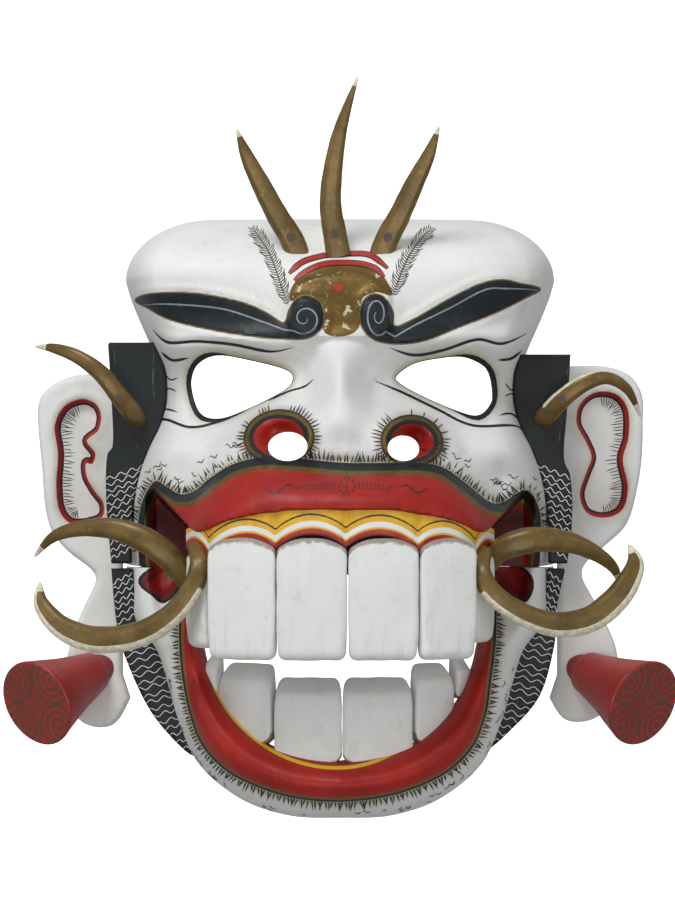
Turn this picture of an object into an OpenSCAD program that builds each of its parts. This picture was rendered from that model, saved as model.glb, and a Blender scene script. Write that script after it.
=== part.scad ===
// Carved and painted demon mask with a hinged lower jaw, tusks, horns and large ears.
// Frame: +Z up, the mask faces -Y, and X = 0 is its middle plane.
// Origin: the mouth of the hanging hole, in the middle of the crown.

/* [Face] */
// Width of the face across the cheeks
face_w = 256; // [215:1:310]
// Height of the face from the jaw's parting line to the crown
face_h = 206; // [175:1:240]
// Depth from the rear rim to the front of the upper lip
face_d = 184; // [155:1:220]
// Thickness of the carved wall at the rim
wall = 8; // [6:0.5:10]
// Columns of facets across the face
face_columns = 58; // [40:2:60]
// Rows of facets up the face
face_rows = 48; // [40:1:50]

/* [Jaw] */
// Depth of the jaw below the parting line at the chin
chin_drop = 141; // [120:1:165]
// Gap at the parting line
parting_gap = 1.2; // [0.8:0.1:3]
// Steps of facets around the jaw
jaw_steps = 48; // [32:2:60]

/* [Hinge] */
// Radius of the hinge pins
pin_r = 2.5; // [2:0.1:3.5]
// Radial clearance of the pins in the jaw
pin_clearance = 0.05; // [0.02:0.01:0.1]
// Thickness of the leather washers
washer_t = 1.4; // [1:0.1:2.5]
// Distance of the hinge axis in front of the rear rim
hinge_y = 12; // [11:0.5:14]
// Distance of the hinge axis below the parting line
hinge_drop = 9; // [8:0.5:11]

/* [Teeth] */
// Height of the upper teeth below the gum
tooth_h = 67; // [56:1:69]
// Height of the lower teeth
low_tooth_h = 52; // [44:1:58]
// Thickness of a tooth from front to back
tooth_t = 12.5; // [10:0.5:13]
// Gap between neighbouring teeth
tooth_gap = 0.7; // [0.4:0.1:1.5]

/* [Tusks and horns] */
// Half width of the mouth tusks at their thickest
tusk_r = 7.5; // [6:0.1:8.5]
// Half width of the horns at the root
horn_r = 7; // [5:0.1:8]
// Half width of the temple tusks at the root
temple_r = 6; // [4.5:0.1:7]
// Facets around a tusk
tusk_sides = 12; // [8:1:16]

/* [Ears] */
// Thickness of the ear boards
ear_t = 9; // [7:0.5:11]
// Thickness of the black hair boards in front of the ears
hair_t = 7; // [5:0.5:9]
// Depth of the ear's carved hollow
ear_recess = 4.5; // [2:0.5:6]
// Radius of the plug's neck in the ear lobe
plug_neck_r = 9.5; // [7:0.5:11]
// Radius of the ear plug's outer end
plug_r = 26; // [20:0.5:30]
// Length of the ear plug outside the lobe
plug_l = 58; // [44:1:66]

/* [Holes] */
// Radius of the holes for the head strap and the hanging cord
strap_hole_r = 2.5; // [2:0.1:3.5]
// Distance of the strap holes to each side of the middle
strap_hole_x = 60; // [45:1:66]
// Distance of the holes in front of the rear rim
strap_hole_y = 10; // [8:0.5:13]

/* [Hidden] */
SIDES = ["left", "right"];

// The carving's own tables are in the carver's units: 128 to the cheek, 206 to the crown, 184 to the lip.
kx = face_w / 256;
kz = face_h / 206;
ky = face_d / 184;
kj = chin_drop / 141;
crown = 206;
side_round = 22;
crown_round = 34;
white = [0.90, 0.91, 0.89];
ink = [0.10, 0.12, 0.13];
red = [0.66, 0.10, 0.09];
gold = [0.42, 0.31, 0.10];

function clamp(v, lo, hi) = min(max(v, lo), hi);
function mix(a, b, t) = a + (b - a) * t;
function ease(t) = let (c = clamp(t, 0, 1)) c * c * (3 - 2 * c);
function quarter(t) = let (c = 1 - clamp(t, 0, 1)) sqrt(1 - c * c);
function bump(x, z, cx, cz, rx, rz, h) = h * exp(-pow((x - cx) / rx, 2) - pow((z - cz) / rz, 2));

// The smooth curve through [place, value] points.
function span_of(p, t, i = 0) = t < p[i + 1][0] || i == len(p) - 2 ? i : span_of(p, t, i + 1);
function slope_at(p, i) = let (a = max(i - 1, 0), b = min(i + 1, len(p) - 1))
    (p[b][1] - p[a][1]) / (p[b][0] - p[a][0]);
function curve(p, t) = t <= p[0][0] ? p[0][1] : t >= p[len(p) - 1][0] ? p[len(p) - 1][1] :
    let (i = span_of(p, t), w = p[i + 1][0] - p[i][0], s = (t - p[i][0]) / w, a = slope_at(p, i) * w,
        b = slope_at(p, i + 1) * w)
    p[i][1] * (2 * s * s * s - 3 * s * s + 1) + a * (s * s * s - 2 * s * s + s)
    + p[i + 1][1] * (3 * s * s - 2 * s * s * s) + b * (s * s * s - s * s);

// The smooth closed or open line through points, with a number of steps for each span.
function spline_point(p, i, s, closed) = let (n = len(p), at = function (k)
    closed ? p[(k + n) % n] : p[clamp(k, 0, n - 1)],
    a = at(i - 1), b = at(i), c = at(i + 1), d = at(i + 2))
    0.5 * (2 * b + (c - a) * s + (2 * a - 5 * b + 4 * c - d) * s * s
        + (3 * b - a - 3 * c + d) * s * s * s);
function spline(p, steps, closed = true) = let (last = closed ? len(p) - 1 : len(p) - 2)
    concat([for (i = [0:last], k = [0:steps - 1]) spline_point(p, i, k / steps, closed)],
        closed ? [] : [p[len(p) - 1]]);

// ---- Face ----
// Half width of the face at each height.
side_line = [[-3, 128], [15, 128], [33, 127.5], [43, 126], [55, 122.5], [69, 116.5], [81, 111], [94, 108],
    [107, 107.5], [117, 108.5], [128, 112.5], [145, 120], [159, 125.5], [168, 128]];
function half_width(z) = z < 168 ? curve(side_line, z)
    : 76 + 52 * sqrt(max(0, 1 - pow((z - 168) / (crown - 168), 2)));

// Height of the lip's painted outline, of its lower edge, and its distance in front of the rim.
lip_top = [[0, 62], [16, 62.5], [37, 63], [49, 61], [63, 56], [77, 47], [90, 42.5], [99, 46.5],
    [107, 51.5], [116, 44]];
lip_bottom = [[0, 37], [30, 36.5], [60, 32], [80, 26], [90, 33], [100, 42], [107, 49], [116, 43]];
lip_front = [[0, 184], [30, 182], [55, 176], [70, 166], [78, 152], [84, 134], [96, 104], [107, 78],
    [114, 64]];
skull_line = [[0, 74], [40, 88], [70, 98], [100, 92], [125, 99], [150, 104], [170, 101], [186, 93],
    [206, 82]];

function skull(x, z) = curve(skull_line, z) * (1 - 0.36 * pow(x / half_width(z), 2));
function nose(x, z) = bump(x, z, 0, 85, 25, 21, 52) + bump(x, z, 36, 76, 20, 16, 40)
    + bump(x, z, 0, 110, 13, 17, 24);
function folds(x, z) = bump(x, z, 60, 105, 34, 17, -12) + bump(x, z, 62, 130, 52, 9, 9)
    + bump(x, z, 86, 66, 26, 15, 15) + bump(x, z, 92, 172, 34, 20, 10)
    + bump(x, z, 0, 184, 26, 12, -7) + bump(x, z, 108, 32, 7, 22, 9);
function brow_pad(x, z) = 4 * ease((30 - x) / 3) * ease((z - 130) / 3) * ease((170 - x * x / 90 - z) / 3)
    + 3 * ease((10.5 - norm([x - 20, z - 142])) / 3);
function features(x, z) = skull(x, z) + nose(x, z) + folds(x, z) + brow_pad(x, z);
// The cheeks and the foot of the nose rise towards the lip's outline.
function upper_face(x, z) = let (h = features(x, z), d = max(0, z - curve(lip_top, x)))
    h + 0.5 * max(0, curve(lip_front, x) - h) * exp(-pow(d / 15, 2)) * ease((114 - x) / 16);

// The lip swells forward from its outline to its lower edge, and the seat of the gum lies behind it.
gum_back = 16;
function lip(x, z) = let (top = curve(lip_top, x), low = curve(lip_bottom, x),
    from = upper_face(x, top + 2), to = curve(lip_front, x))
    z > low ? mix(from, to, sin(90 * clamp((top - z) / (top - low), 0, 1)))
        : mix(to, to - gum_back, ease((low - z) / 6));
// The hollow of the mouth's corner, beside the tooth row.
function corner_hollow(x, z) = ease((x - 78) / 10) * ease((115 - x) / 8)
    * ease((curve(lip_bottom, x) - z) / 7);
function face_height(x, z) = let (ax = abs(x), top = curve(lip_top, ax),
    body = mix(upper_face(ax, z), lip(ax, z), ax > 107 ? 0 : ease((top + 1.5 - z) / 3)))
    mix(body, 46, corner_hollow(ax, z));

// The hollow inside, at least a wall thick behind the carving, with a deep space behind the mouth.
hollow_line = [[0, 150], [60, 140], [78, 104], [104, 44], [128, 40]];
function inner_height(x, z) = min(curve(hollow_line, abs(x)) - max(0, z - 50) * 0.75,
    min([for (dx = [-5, 0, 5], dz = [-5, 0, 5]) face_height(x + dx, clamp(z + dz, 0, crown))])
        - 1.3 * wall);

// The eye's outline about its middle: distance at each angle from straight outwards.
eye_x = 56;
eye_z = 104.5;
eye_line = [[0, 26.5], [34, 21.6], [77, 17.5], [125, 19], [156, 26], [174, 30.6], [200, 19.5],
    [252, 13.1], [305, 20.8], [327, 25], [344, 26.5], [360, 26.5]];
nostril_x = 33.5;
nostril_z = 72;
nostril_rx = 9.5;
nostril_rz = 7;
function share_points(cx, cz, line, n) = [for (k = [0:n - 1]) let (a = 360 * k / n, r = curve(line, a))
    [cx + r * cos(a), cz + r * sin(a)]];

// The columns are closer at the sides, and the rows are closer in the crown's rounding.
function face_u(i) = let (u = 2 * i / face_columns - 1) 0.72 * u + 0.28 * sin(90 * u);
function face_z(j) = let (low = floor(0.7 * face_rows)) j < low ? 165 * j / low : 165
    + 41 * sin(90 * (j - low) / (face_rows - low));
function edge(p) = quarter((half_width(p[1]) - abs(p[0])) / side_round)
    * quarter((crown - p[1]) / crown_round);
face_plan = [for (j = [0:face_rows]) [for (i = [0:face_columns])
    [half_width(face_z(j)) * face_u(i), face_z(j)]]];
function outer_point(p) = [p[0] * kx, -face_height(p[0], p[1]) * edge(p) * ky, p[1] * kz];
function inner_point(p) = let (w = half_width(p[1]), x = p[0] * (w - wall / kx) / w,
    z = p[1] * (crown - wall / kz) / crown)
    [x * kx, -max(0, inner_height(x, z)) * edge(p) * ky, z * kz];

module face_solid() {
    n = face_columns + 1;
    m = face_rows + 1;
    outer = [for (row = face_plan, p = row) outer_point(p)];
    inner = [for (row = face_plan, p = row) inner_point(p)];
    at = function (j, i) j * n + i;
    back = n * m;
    quads = concat(
        [for (j = [0:m - 2], i = [0:n - 2]) each [[at(j, i), at(j + 1, i), at(j + 1, i + 1),
            at(j, i + 1)],
            [back + at(j, i), back + at(j, i + 1), back + at(j + 1, i + 1), back + at(j + 1, i)]]],
        [for (i = [0:n - 2]) each [[at(0, i), at(0, i + 1), back + at(0, i + 1), back + at(0, i)],
            [at(m - 1, i + 1), at(m - 1, i), back + at(m - 1, i), back + at(m - 1, i + 1)]]],
        [for (j = [0:m - 2]) each [[at(j + 1, 0), at(j, 0), back + at(j, 0), back + at(j + 1, 0)],
            [at(j, n - 1), at(j + 1, n - 1), back + at(j + 1, n - 1), back + at(j, n - 1)]]]);
    // Each quad is cut into two triangles, because its corners don't lie in one plane.
    polyhedron(concat(outer, inner), [for (q = quads) each [[q[0], q[2], q[1]], [q[0], q[3], q[2]]]]);
}

// Everything is drawn from the middle of the parting line, on the rear rim's plane, then set down here.
module place() translate([0, strap_hole_y, -face_h]) children();
function spot(x, d, z) = [x * kx, -d * ky, z * kz];

module face_shell() color(white) place() difference() {
    face_solid();
    for (x = [-strap_hole_x, 0, strap_hole_x])
        translate([x, -strap_hole_y, face_h - 3 * wall]) cylinder(r = strap_hole_r, h = 4 * wall,
            $fn = 48);
    for (side = SIDES) board(sided(flat_points(share_points(eye_x, eye_z, eye_line, 24)), side), 20,
        1.2 * face_d);
    for (side = SIDES) board(sided(flat_points([for (a = [0:24:336])
        [nostril_x + nostril_rx * cos(a), nostril_z + nostril_rz * sin(a)]]),
        side), 20, 1.2 * face_d);
}

// ---- Mouth ----
// A board of even thickness that stands across the view: its outline in X and Z, and the depth of its back.
module board(outline, depth, t) translate([0, -depth, 0]) rotate([90, 0, 0]) linear_extrude(t)
    polygon(outline);
function flip(p) = [for (q = p) [-q[0], q[1]]];
function sided(p, side) = side == "left" ? flip(p) : p;

function gum_front(x) = curve(lip_front, abs(x)) - 4;
module upper_gum() color([0.86, 0.66, 0.06]) place() intersection() {
    xs = [for (i = [-22:22]) 86 * sin(i * 90 / 22)];
    translate([0, 0, 8 * kz]) linear_extrude(31 * kz) polygon(concat(
        [for (x = xs) [x * kx, -gum_front(x) * ky]],
        [for (i = [44:-1:0]) [0.94 * xs[i] * kx, -(gum_front(xs[i]) - 13) * ky]]));
    board([for (p = [[-86, 24], [-58, 33], [-27, 38], [27, 38], [58, 33], [86, 24], [86, 8], [-86, 8]])
        [p[0] * kx, p[1] * kz]], 100 * ky, face_d);
}

// A tooth hangs or stands from z = 0, with its front on Y = 0 and rounded corners at its free end.
module tooth(w, h, t, r) intersection() {
    union() {
        translate([-w / 2, 0, 0]) cube([w, t, h - r]);
        translate([-w / 2 + r, 0, 0]) cube([w - 2 * r, t, h]);
        for (x = [-1, 1]) translate([x * (w / 2 - r), t, h - r]) rotate([90, 0, 0])
            cylinder(r = r, h = t, $fn = 48);
    }
    union() {
        translate([-w / 2 + r, 0, 0]) cube([w - 2 * r, t, h]);
        translate([-w / 2, r, 0]) cube([w, t - r, h]);
        for (x = [-1, 1]) translate([x * (w / 2 - r), r, 0]) cylinder(r = r, h = h, $fn = 48);
    }
    // The sides draw in towards the back, so that neighbours can lean away from each other.
    translate([0, 0, -1]) linear_extrude(h + 2) polygon([[-w / 2 - 1, -1], [w / 2 + 1, -1],
        [w / 2 - t / 4, t + 1], [t / 4 - w / 2, t + 1]]);
}
// Middle and width of each tooth, from the mask's right to its left side.
upper_teeth = [[-54, 40], [-15.5, 39.5], [23.5, 39.5], [59.2, 34.6]];
lower_teeth = [[-54, 34], [-18, 38], [21, 39.5], [53.5, 25]];
tooth_top = 20;
function lean(line, x) = atan2((curve(line, abs(x) + 8) - curve(line, abs(x) - 8)) * ky,
    16 * kx) * -sign(x);
module upper_tooth(i) color(white) place() let (x = upper_teeth[i - 1][0])
    translate([x * kx, -(curve(lip_front, abs(x)) - 1) * ky, tooth_top * kz])
        rotate([0, 0, lean(lip_front, x) * 0.75])
        mirror([0, 0, 1]) tooth(upper_teeth[i - 1][1] * kx - tooth_gap, tooth_h * kz, tooth_t, 5);
module upper_side_tooth(side) color(white) place() let (x = side == "left" ? -80 : 80)
    translate([x * kx, -150 * ky, 12 * kz]) rotate([0, 0, side == "left" ? -58 : 58])
        mirror([0, 0, 1]) tooth(22, (side == "left" ? 53 : 50) * kz, 11, 4);

// ---- Jaw ----
// The jaw is a band around the mouth. From the parting line to the chin: its mouth edge and its outer edge
// as [x, z], and the depth of its lip.
jaw_mouth = [[88, 0], [86.5, -12], [83, -26], [78, -42], [74, -55], [66, -72], [54, -86], [38, -97],
    [18, -103], [0, -105]];
jaw_outer = [[128, 0], [126, -16], [121, -32], [106, -48], [99, -66], [92, -88], [80, -112], [56, -131],
    [28, -140], [0, -141]];
jaw_lip = [[0, 46], [1, 56], [2, 76], [3, 103], [4, 120], [5, 130], [6, 138], [7, 144], [8, 148],
    [9, 150]];
// Share of the lip's depth from the mouth edge to the outer edge, at the parting line and around the chin.
end_profile = [[0, 1], [0.45, 1], [0.6, 1.13], [0.75, 1.02], [0.85, 0.8], [0.94, 0.5], [1, 0.1]];
lip_profile = [[0, 0.92], [0.15, 0.98], [0.3, 1], [0.5, 0.97], [0.68, 0.9], [0.84, 0.83], [0.94, 0.74],
    [1, 0.64]];
jaw_across = [0, 0.08, 0.18, 0.3, 0.42, 0.54, 0.64, 0.72, 0.8, 0.87, 0.93, 0.97, 1];
function jaw_edge(line, s) = let (i = min(floor(s), 8), p = spline_point(line, i, s - i, false))
    [p[0], s == 0 ? -parting_gap / kz : p[1] * kj / kz];
function jaw_depth(s, v) = curve(jaw_lip, s) * mix(curve(end_profile, v), curve(lip_profile, v),
    ease(s / 3.5));
function jaw_rear(z) = 0.36 * max(0, -z - 3);

module jaw_solid() {
    half = jaw_steps / 2;
    stations = [for (k = [-half:half]) 9 * (1 - abs(k) / half)];
    ring = function (k) let (s = stations[k], sx = k < half ? -1 : 1, a = jaw_edge(jaw_mouth, s),
        b = jaw_edge(jaw_outer, s),
        d = norm(b - a), w = wall / d,
        put = function (v, depth) let (p = a + (b - a) * v) [sx * p[0] * kx, -depth * ky, p[1] * kz],
        rear = jaw_rear(b[1]))
        concat([for (v = jaw_across) put(v, jaw_depth(s, v))],
            [put(1, rear), put(1 - w, rear)],
            [for (i = [len(jaw_across) - 1:-1:0]) let (v = jaw_across[i] * (1 - w))
                put(v, max(rear + 4, jaw_depth(s, jaw_across[i]) - 1.3 * wall / ky))]);
    rings = [for (k = [0:jaw_steps]) ring(k)];
    m = len(rings[0]);
    walls = [for (k = [0:jaw_steps - 1], i = [0:m - 1]) let (j = (i + 1) % m,
        q = [k * m + i, k * m + j, (k + 1) * m + j, (k + 1) * m + i])
            each [[q[0], q[1], q[2]], [q[0], q[2], q[3]]]];
    // The two ends at the parting line are strips between the outer and the inner surface.
    ends = [for (i = [0:m / 2 - 2], o = [0, jaw_steps * m])
        let (q = [o + i, o + i + 1, o + m - 2 - i, o + m - 1 - i])
        each o == 0 ? [[q[2], q[1], q[0]], [q[3], q[2], q[0]]]
            : [[q[0], q[1], q[2]], [q[0], q[2], q[3]]]];
    polyhedron([for (r = rings) each r], concat(walls, ends));
}

boss_r = hinge_drop - parting_gap;
boss_x = face_w / 2 - wall - 3;
module across(x, l, r) translate([x, -hinge_y, -hinge_drop]) rotate([0, 90, 0])
    cylinder(r = r, h = l, $fn = 48);
module jaw_shell() color(white) place() difference() {
    jaw_solid();
    for (side = [0, 1]) mirror([side, 0, 0]) {
        across(boss_x - 1, wall + 12, pin_r + pin_clearance);
        // The corner behind the pin is rounded, so that the jaw can swing.
        difference() {
            translate([boss_x - 1, -hinge_y, -hinge_drop]) cube([wall + 12, hinge_y + 1, hinge_drop + 1]);
            across(boss_x - 2, wall + 14, boss_r);
        }
    }
}

low_line = [[0, 136], [30, 133], [52, 126], [66, 116], [76, 104]];
function low_front(x) = curve(low_line, abs(x));
low_foot = [-99, -110, -110, -99];
module lower_tooth(i) color(white) place() let (x = lower_teeth[i - 1][0])
    translate([x * kx, -low_front(x) * ky, low_foot[i - 1] * kj]) rotate([0, 0, lean(low_line, x)])
        tooth(lower_teeth[i - 1][1] * kx - tooth_gap, low_tooth_h * kj * (abs(x) > 40 ? 0.93 : 1),
            tooth_t, 5);
module lower_side_tooth(side) color(white) place() let (x = side == "left" ? -74.4 : 70)
    translate([x * kx, -113 * ky, -72 * kj]) rotate([0, 0, side == "left" ? -48 : 48])
        tooth(13, 26 * kj, 9, 3);

// ---- Tusks and horns ----
// A tusk through [x, depth, z] points, with a half width at each; it is a little thinner front to back.
module tusk(path, widths) {
    steps = 4;
    line = spline([for (p = path) spot(p[0], p[1], p[2])], steps, false);
    half = spline([for (w = widths) [w, w]], steps, false);
    n = len(line);
    rings = [for (i = [0:n - 1]) let (t = line[min(i + 1, n - 1)] - line[max(i - 1, 0)],
        dir = t / norm(t),
        s = cross(dir, [0, 1, 0]), side = s / norm(s), up = cross(side, dir))
        for (k = [0:tusk_sides - 1]) let (a = 360 * k / tusk_sides)
            line[i] + max(0.4, half[i][0]) * (side * cos(a) + up * sin(a) * 0.86)];
    walls = [for (i = [0:n - 2], k = [0:tusk_sides - 1]) let (l = (k + 1) % tusk_sides,
        q = [i * tusk_sides + k, i * tusk_sides + l, (i + 1) * tusk_sides + l, (i + 1) * tusk_sides + k])
        each [[q[0], q[1], q[2]], [q[0], q[2], q[3]]]];
    polyhedron(rings, concat(walls, [[for (k = [tusk_sides - 1:-1:0]) k],
        [for (k = [0:tusk_sides - 1]) (n - 1) * tusk_sides + k]]));
}

horn_path = [[[-24, 84, 178], [-28, 86, 189], [-36, 90, 202], [-45, 95, 219], [-53, 100, 235],
    [-58.5, 104, 249.5]],
    [[-1, 86, 179], [-3, 88, 191], [-5.5, 91, 208], [-4, 96, 228], [0.5, 101, 251], [10, 107, 279]],
    [[23, 84, 178], [27, 86, 189], [34, 90, 202], [42, 95, 219], [50, 100, 235], [56, 104, 251]]];
module horn(i) color(gold) place() tusk(horn_path[i], [1.05, 1, 0.92, 0.8, 0.55, 0.12] * horn_r);
temple_path = [[[-119, 43, 86], [-121, 55, 90], [-127, 64, 98], [-138, 68, 112], [-152, 66, 122],
    [-166, 58, 127], [-178, 50, 128.5]],
    [[119, 43, 86], [121, 55, 89], [128, 64, 97], [140, 68, 106], [154, 66, 110], [167, 59, 103],
        [175.5, 50, 87]]];
module temple_tusk(side) color(gold) place() tusk(temple_path[side == "left" ? 0 : 1],
    [1, 1, 0.95, 0.85, 0.7, 0.5, 0.12] * temple_r);
upper_path = [[[-80, 130, -10], [-88, 134, 0], [-99, 138, 12], [-112, 138, 20], [-128, 134, 24.5],
    [-146, 128, 24], [-161, 120, 19], [-172, 112, 8]],
    [[79, 130, 2], [88, 136, 12], [100, 139, 17], [112, 138, 18.5], [128, 134, 16.5], [143, 127, 10],
        [153, 120, 2], [157, 114, -7]]];
module upper_tusk(side) color(gold) place() tusk(upper_path[side == "left" ? 0 : 1],
    [0.85, 0.9, 1, 0.95, 0.8, 0.6, 0.42, 0.1] * tusk_r);
lower_path = [[[-79, 146, 14], [-77, 157, 5], [-81, 160, -8], [-91, 158, -21], [-105, 153, -31],
    [-121, 146, -36], [-139, 138, -36.5], [-156, 130, -30], [-167, 122, -18], [-168.5, 116, -6]],
    [[79, 146, 12], [77, 157, 2], [84, 160, -11], [100, 157, -22], [119, 150, -28], [138, 142, -25.5],
        [153, 134, -15], [162, 127, -3], [165, 121, 6], [162, 116, 15]]];
module lower_tusk(side) color(gold) place() tusk(lower_path[side == "left" ? 0 : 1],
    [0.7, 0.75, 0.8, 0.85, 0.95, 1, 1, 0.85, 0.6, 0.1] * tusk_r);

// A nail driven into the front of a tusk at [x, depth, z] of the tusk's middle line there.
module nail(p, r) translate(spot(p[0], p[1], p[2])) rotate([90, 0, 0]) {
    cylinder(r = 1.4, h = 0.86 * r + 0.5, $fn = 32);
    translate([0, 0, 0.86 * r - 0.6]) cylinder(r = 2.4, h = 1.8, $fn = 32);
}
module horn_nails() color([0.16, 0.14, 0.12]) place() for (path = horn_path) nail(path[1], horn_r);
module temple_nails() color([0.16, 0.14, 0.12]) place() for (path = temple_path)
    nail(path[2], 0.95 * temple_r);

// ---- Ears and boards ----
wall_heights = [0:6:150];
// The inner edge of a board that is let into the side of the face, from the height `from` up to `to`.
function along_face(from, to, depth_in) = [for (z = concat([from],
    [for (h = wall_heights) if (h > from && h < to) h], [to]))
    [half_width(z) * kx - depth_in, z * kz]];
function flat_points(p) = [for (q = p) [q[0] * kx, q[1] * kz]];
ear_line = [[[147, 113.5], [160, 112], [171, 107], [179, 98], [180, 84], [177.5, 56], [176, 36], [172, 20],
        [162, 7.5], [149, -2.5], [145.5, -9], [149, -18], [156, -33], [162, -52], [164, -72], [158, -90],
        [147, -97], [134, -95], [125, -80]],
    [[137, 118], [157, 118], [172, 113], [180, 101], [180.5, 84], [180, 64], [177, 44], [171, 24],
        [158, 11], [146, 0], [144.5, -8], [149, -17], [158, -34], [165, -52], [165, -74], [156, -89],
        [145, -94], [133, -92], [125, -80]]];
recess_line = [[154, 98], [165, 93], [169.5, 79], [167, 62], [169, 45], [165, 31], [154, 25], [145, 32],
    [144, 47], [150, 60], [145, 70], [140, 81], [143, 93]];
ear_depth = 6;
// The plug's axis from the lobe to its outer end.
plug_from = [143, -62];
plug_dir = [33, -44, -17] / norm([33, 44, 17]);
module plug_axis(side) translate([(side == "left" ? -1 : 1) * plug_from[0] * kx, -ear_depth - ear_t / 2,
    plug_from[1] * kz])
    rotate([0, acos(plug_dir[2]), atan2(plug_dir[1], (side == "left" ? -1 : 1) * plug_dir[0])])
        children();
module ear(side) color(white) place() difference() {
    outer = spline(ear_line[side == "left" ? 0 : 1], 2, false);
    edge_top = outer[0][1];
    board(sided(concat(flat_points(outer), [[half_width(0) * kx + 1.6, -66 * kz],
        [half_width(0) * kx + 1.6, 1.5 * kz]],
        along_face(1.5, edge_top, 3)), side), ear_depth, ear_t);
    board(sided(flat_points(spline([for (p = recess_line) side == "left" ? p : p + [1.5, 4]], 3)), side),
        ear_depth + ear_t - ear_recess, ear_t);
    plug_axis(side) cylinder(r = plug_neck_r - 0.05, h = 60, center = true, $fn = 64);
}
module ear_plug(side) color(red) place() plug_axis(side) rotate_extrude($fn = 96)
    polygon([[0, -4], [plug_neck_r, -4],
    [plug_neck_r, 5], [plug_neck_r + 3, 7], [plug_r, plug_l], [plug_r - 1, plug_l + 1], [0, plug_l + 1]]);

hair_line = [[[136, 131], [134, 100], [133, 72], [136.5, 64], [137, 39], [134, 1.5]],
    [[135, 124], [133, 92], [131, 64], [135, 52], [136, 28], [133, 1.5]]];
hair_depth = 38;
module hair_board(side) color(ink) place() let (line = hair_line[side == "left" ? 0 : 1])
    board(sided(concat(flat_points(line), along_face(1.5, line[0][1], 6)), side), hair_depth * ky,
        hair_t);
beard_line = [[[134, -1.5], [131, -33], [126, -53], [111, -85], [91, -108], [80, -113]],
    [[132, -1.5], [127, -24], [126, -44], [117, -76], [98, -98], [84, -110]]];
module beard_board(side) color(ink) place() let (line = beard_line[side == "left" ? 0 : 1])
    board(sided(concat([for (p = line) [p[0] * kx, p == line[0] ? -parting_gap : p[1] * kj]],
        [for (s = [6:-0.5:0]) let (b = jaw_edge(jaw_outer, s), a = jaw_edge(jaw_mouth, s),
            q = b + (a - b) * 6 / norm(b - a))
            [q[0] * kx, s == 0 ? -parting_gap : q[1] * kz]]), side), hair_depth * ky, hair_t);

// ---- Hinge ----
washer_gap = 0.3;
module cheek_block(side) color([0.55, 0.38, 0.22]) place() mirror([side == "left" ? 1 : 0, 0, 0])
    let (x = boss_x - washer_gap - washer_t) difference() {
    union() {
        translate([x - 14, -hinge_y - 9, -hinge_drop - 9]) cube([14, 18, hinge_drop + 39]);
        translate([x - 14, -hinge_y - 9, 1]) cube([face_w / 2 - wall + 2 - (x - 14), 18, 29]);
    }
    across(x - 20, 40, pin_r - 0.03);
}
// The jaw's side is thickened around the pin.
module hinge_boss(side) color(white) place() mirror([side == "left" ? 1 : 0, 0, 0]) difference() {
    across(boss_x, wall - 3, boss_r - 1);
    across(boss_x - 1, wall, pin_r + pin_clearance);
}
module hinge_pin(side) color([0.45, 0.44, 0.42]) place() mirror([side == "left" ? 1 : 0, 0, 0])
    let (x = boss_x - washer_gap - washer_t) union() {
    across(x - 14, wall + 18, pin_r);
    across(x - 16, 2, 2 * pin_r);
}
module hinge_washer(side) color([0.45, 0.30, 0.16]) place() mirror([side == "left" ? 1 : 0, 0, 0])
    difference() {
    across(boss_x - washer_gap - washer_t, washer_t, 2 * pin_r);
    across(boss_x - 10, 20, pin_r + 0.02);
}

face_shell();
upper_gum();
jaw_shell();
horn(1);  // horn_middle
horn_nails();
temple_nails();
for (i = [1:4]) {
    upper_tooth(i);
    lower_tooth(i);
}
for (s = SIDES) {
    upper_side_tooth(s);
    lower_side_tooth(s);
    ear(s);
    ear_plug(s);
    hair_board(s);
    beard_board(s);
    horn(s == "left" ? 0 : 2);
    temple_tusk(s);
    upper_tusk(s);
    lower_tusk(s);
    cheek_block(s);
    hinge_boss(s);
    hinge_pin(s);
    hinge_washer(s);
}
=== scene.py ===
import math
import random

import bmesh
import bpy
import numpy as np
from bpy.props import FloatProperty, FloatVectorProperty, IntProperty, PointerProperty
from mathutils import Matrix, Vector
from mathutils.bvhtree import BVHTree


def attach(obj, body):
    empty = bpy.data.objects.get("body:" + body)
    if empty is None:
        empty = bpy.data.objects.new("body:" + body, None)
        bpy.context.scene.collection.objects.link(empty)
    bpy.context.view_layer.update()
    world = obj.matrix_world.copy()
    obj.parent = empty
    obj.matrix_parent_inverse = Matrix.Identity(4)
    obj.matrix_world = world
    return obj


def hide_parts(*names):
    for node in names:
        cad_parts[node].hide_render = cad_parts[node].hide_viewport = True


bl_info = {
    "name": "Carved demon mask",
    "version": (1, 0, 0),
    "blender": (4, 5, 0),
    "location": "3D View > Sidebar > Mask",
    "description": "Builds a carved and painted demon mask with a hinged jaw on its packed frame",
    "category": "Add Mesh",
}

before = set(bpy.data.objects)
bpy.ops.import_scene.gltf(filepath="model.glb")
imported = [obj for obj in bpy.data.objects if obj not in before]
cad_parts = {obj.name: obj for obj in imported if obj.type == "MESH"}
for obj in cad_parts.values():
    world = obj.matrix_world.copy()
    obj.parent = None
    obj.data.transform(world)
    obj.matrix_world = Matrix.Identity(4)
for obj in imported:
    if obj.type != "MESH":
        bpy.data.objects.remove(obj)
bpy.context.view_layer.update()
SIDES = ("left", "right")
MM = 0.001
# Lengths from here on are the carver's millimetres.
CROWN = 206.0  # height of the crown above the parting line
RIM = 10.0  # the rear rim lies this far behind the hanging hole
# The dome's lowest height, its flat half width and its rounding's width.
DOME_FROM, DOME_IN, DOME_WIDE = 168, 76, 52
JAW_WALL = 8  # thickness of the jaw's side
CARVED_WALL = 10.4  # thickness of the carved shell and of the jaw's front
PARTING = -1.2  # height of the jaw's top, just below the parting line
BOARD_BACK = 38  # distance from the rear rim to the back of the hair and beard boards
UNPAINTED = -30.0  # a distance outside every painted outline
rng = random.Random(7)


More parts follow.
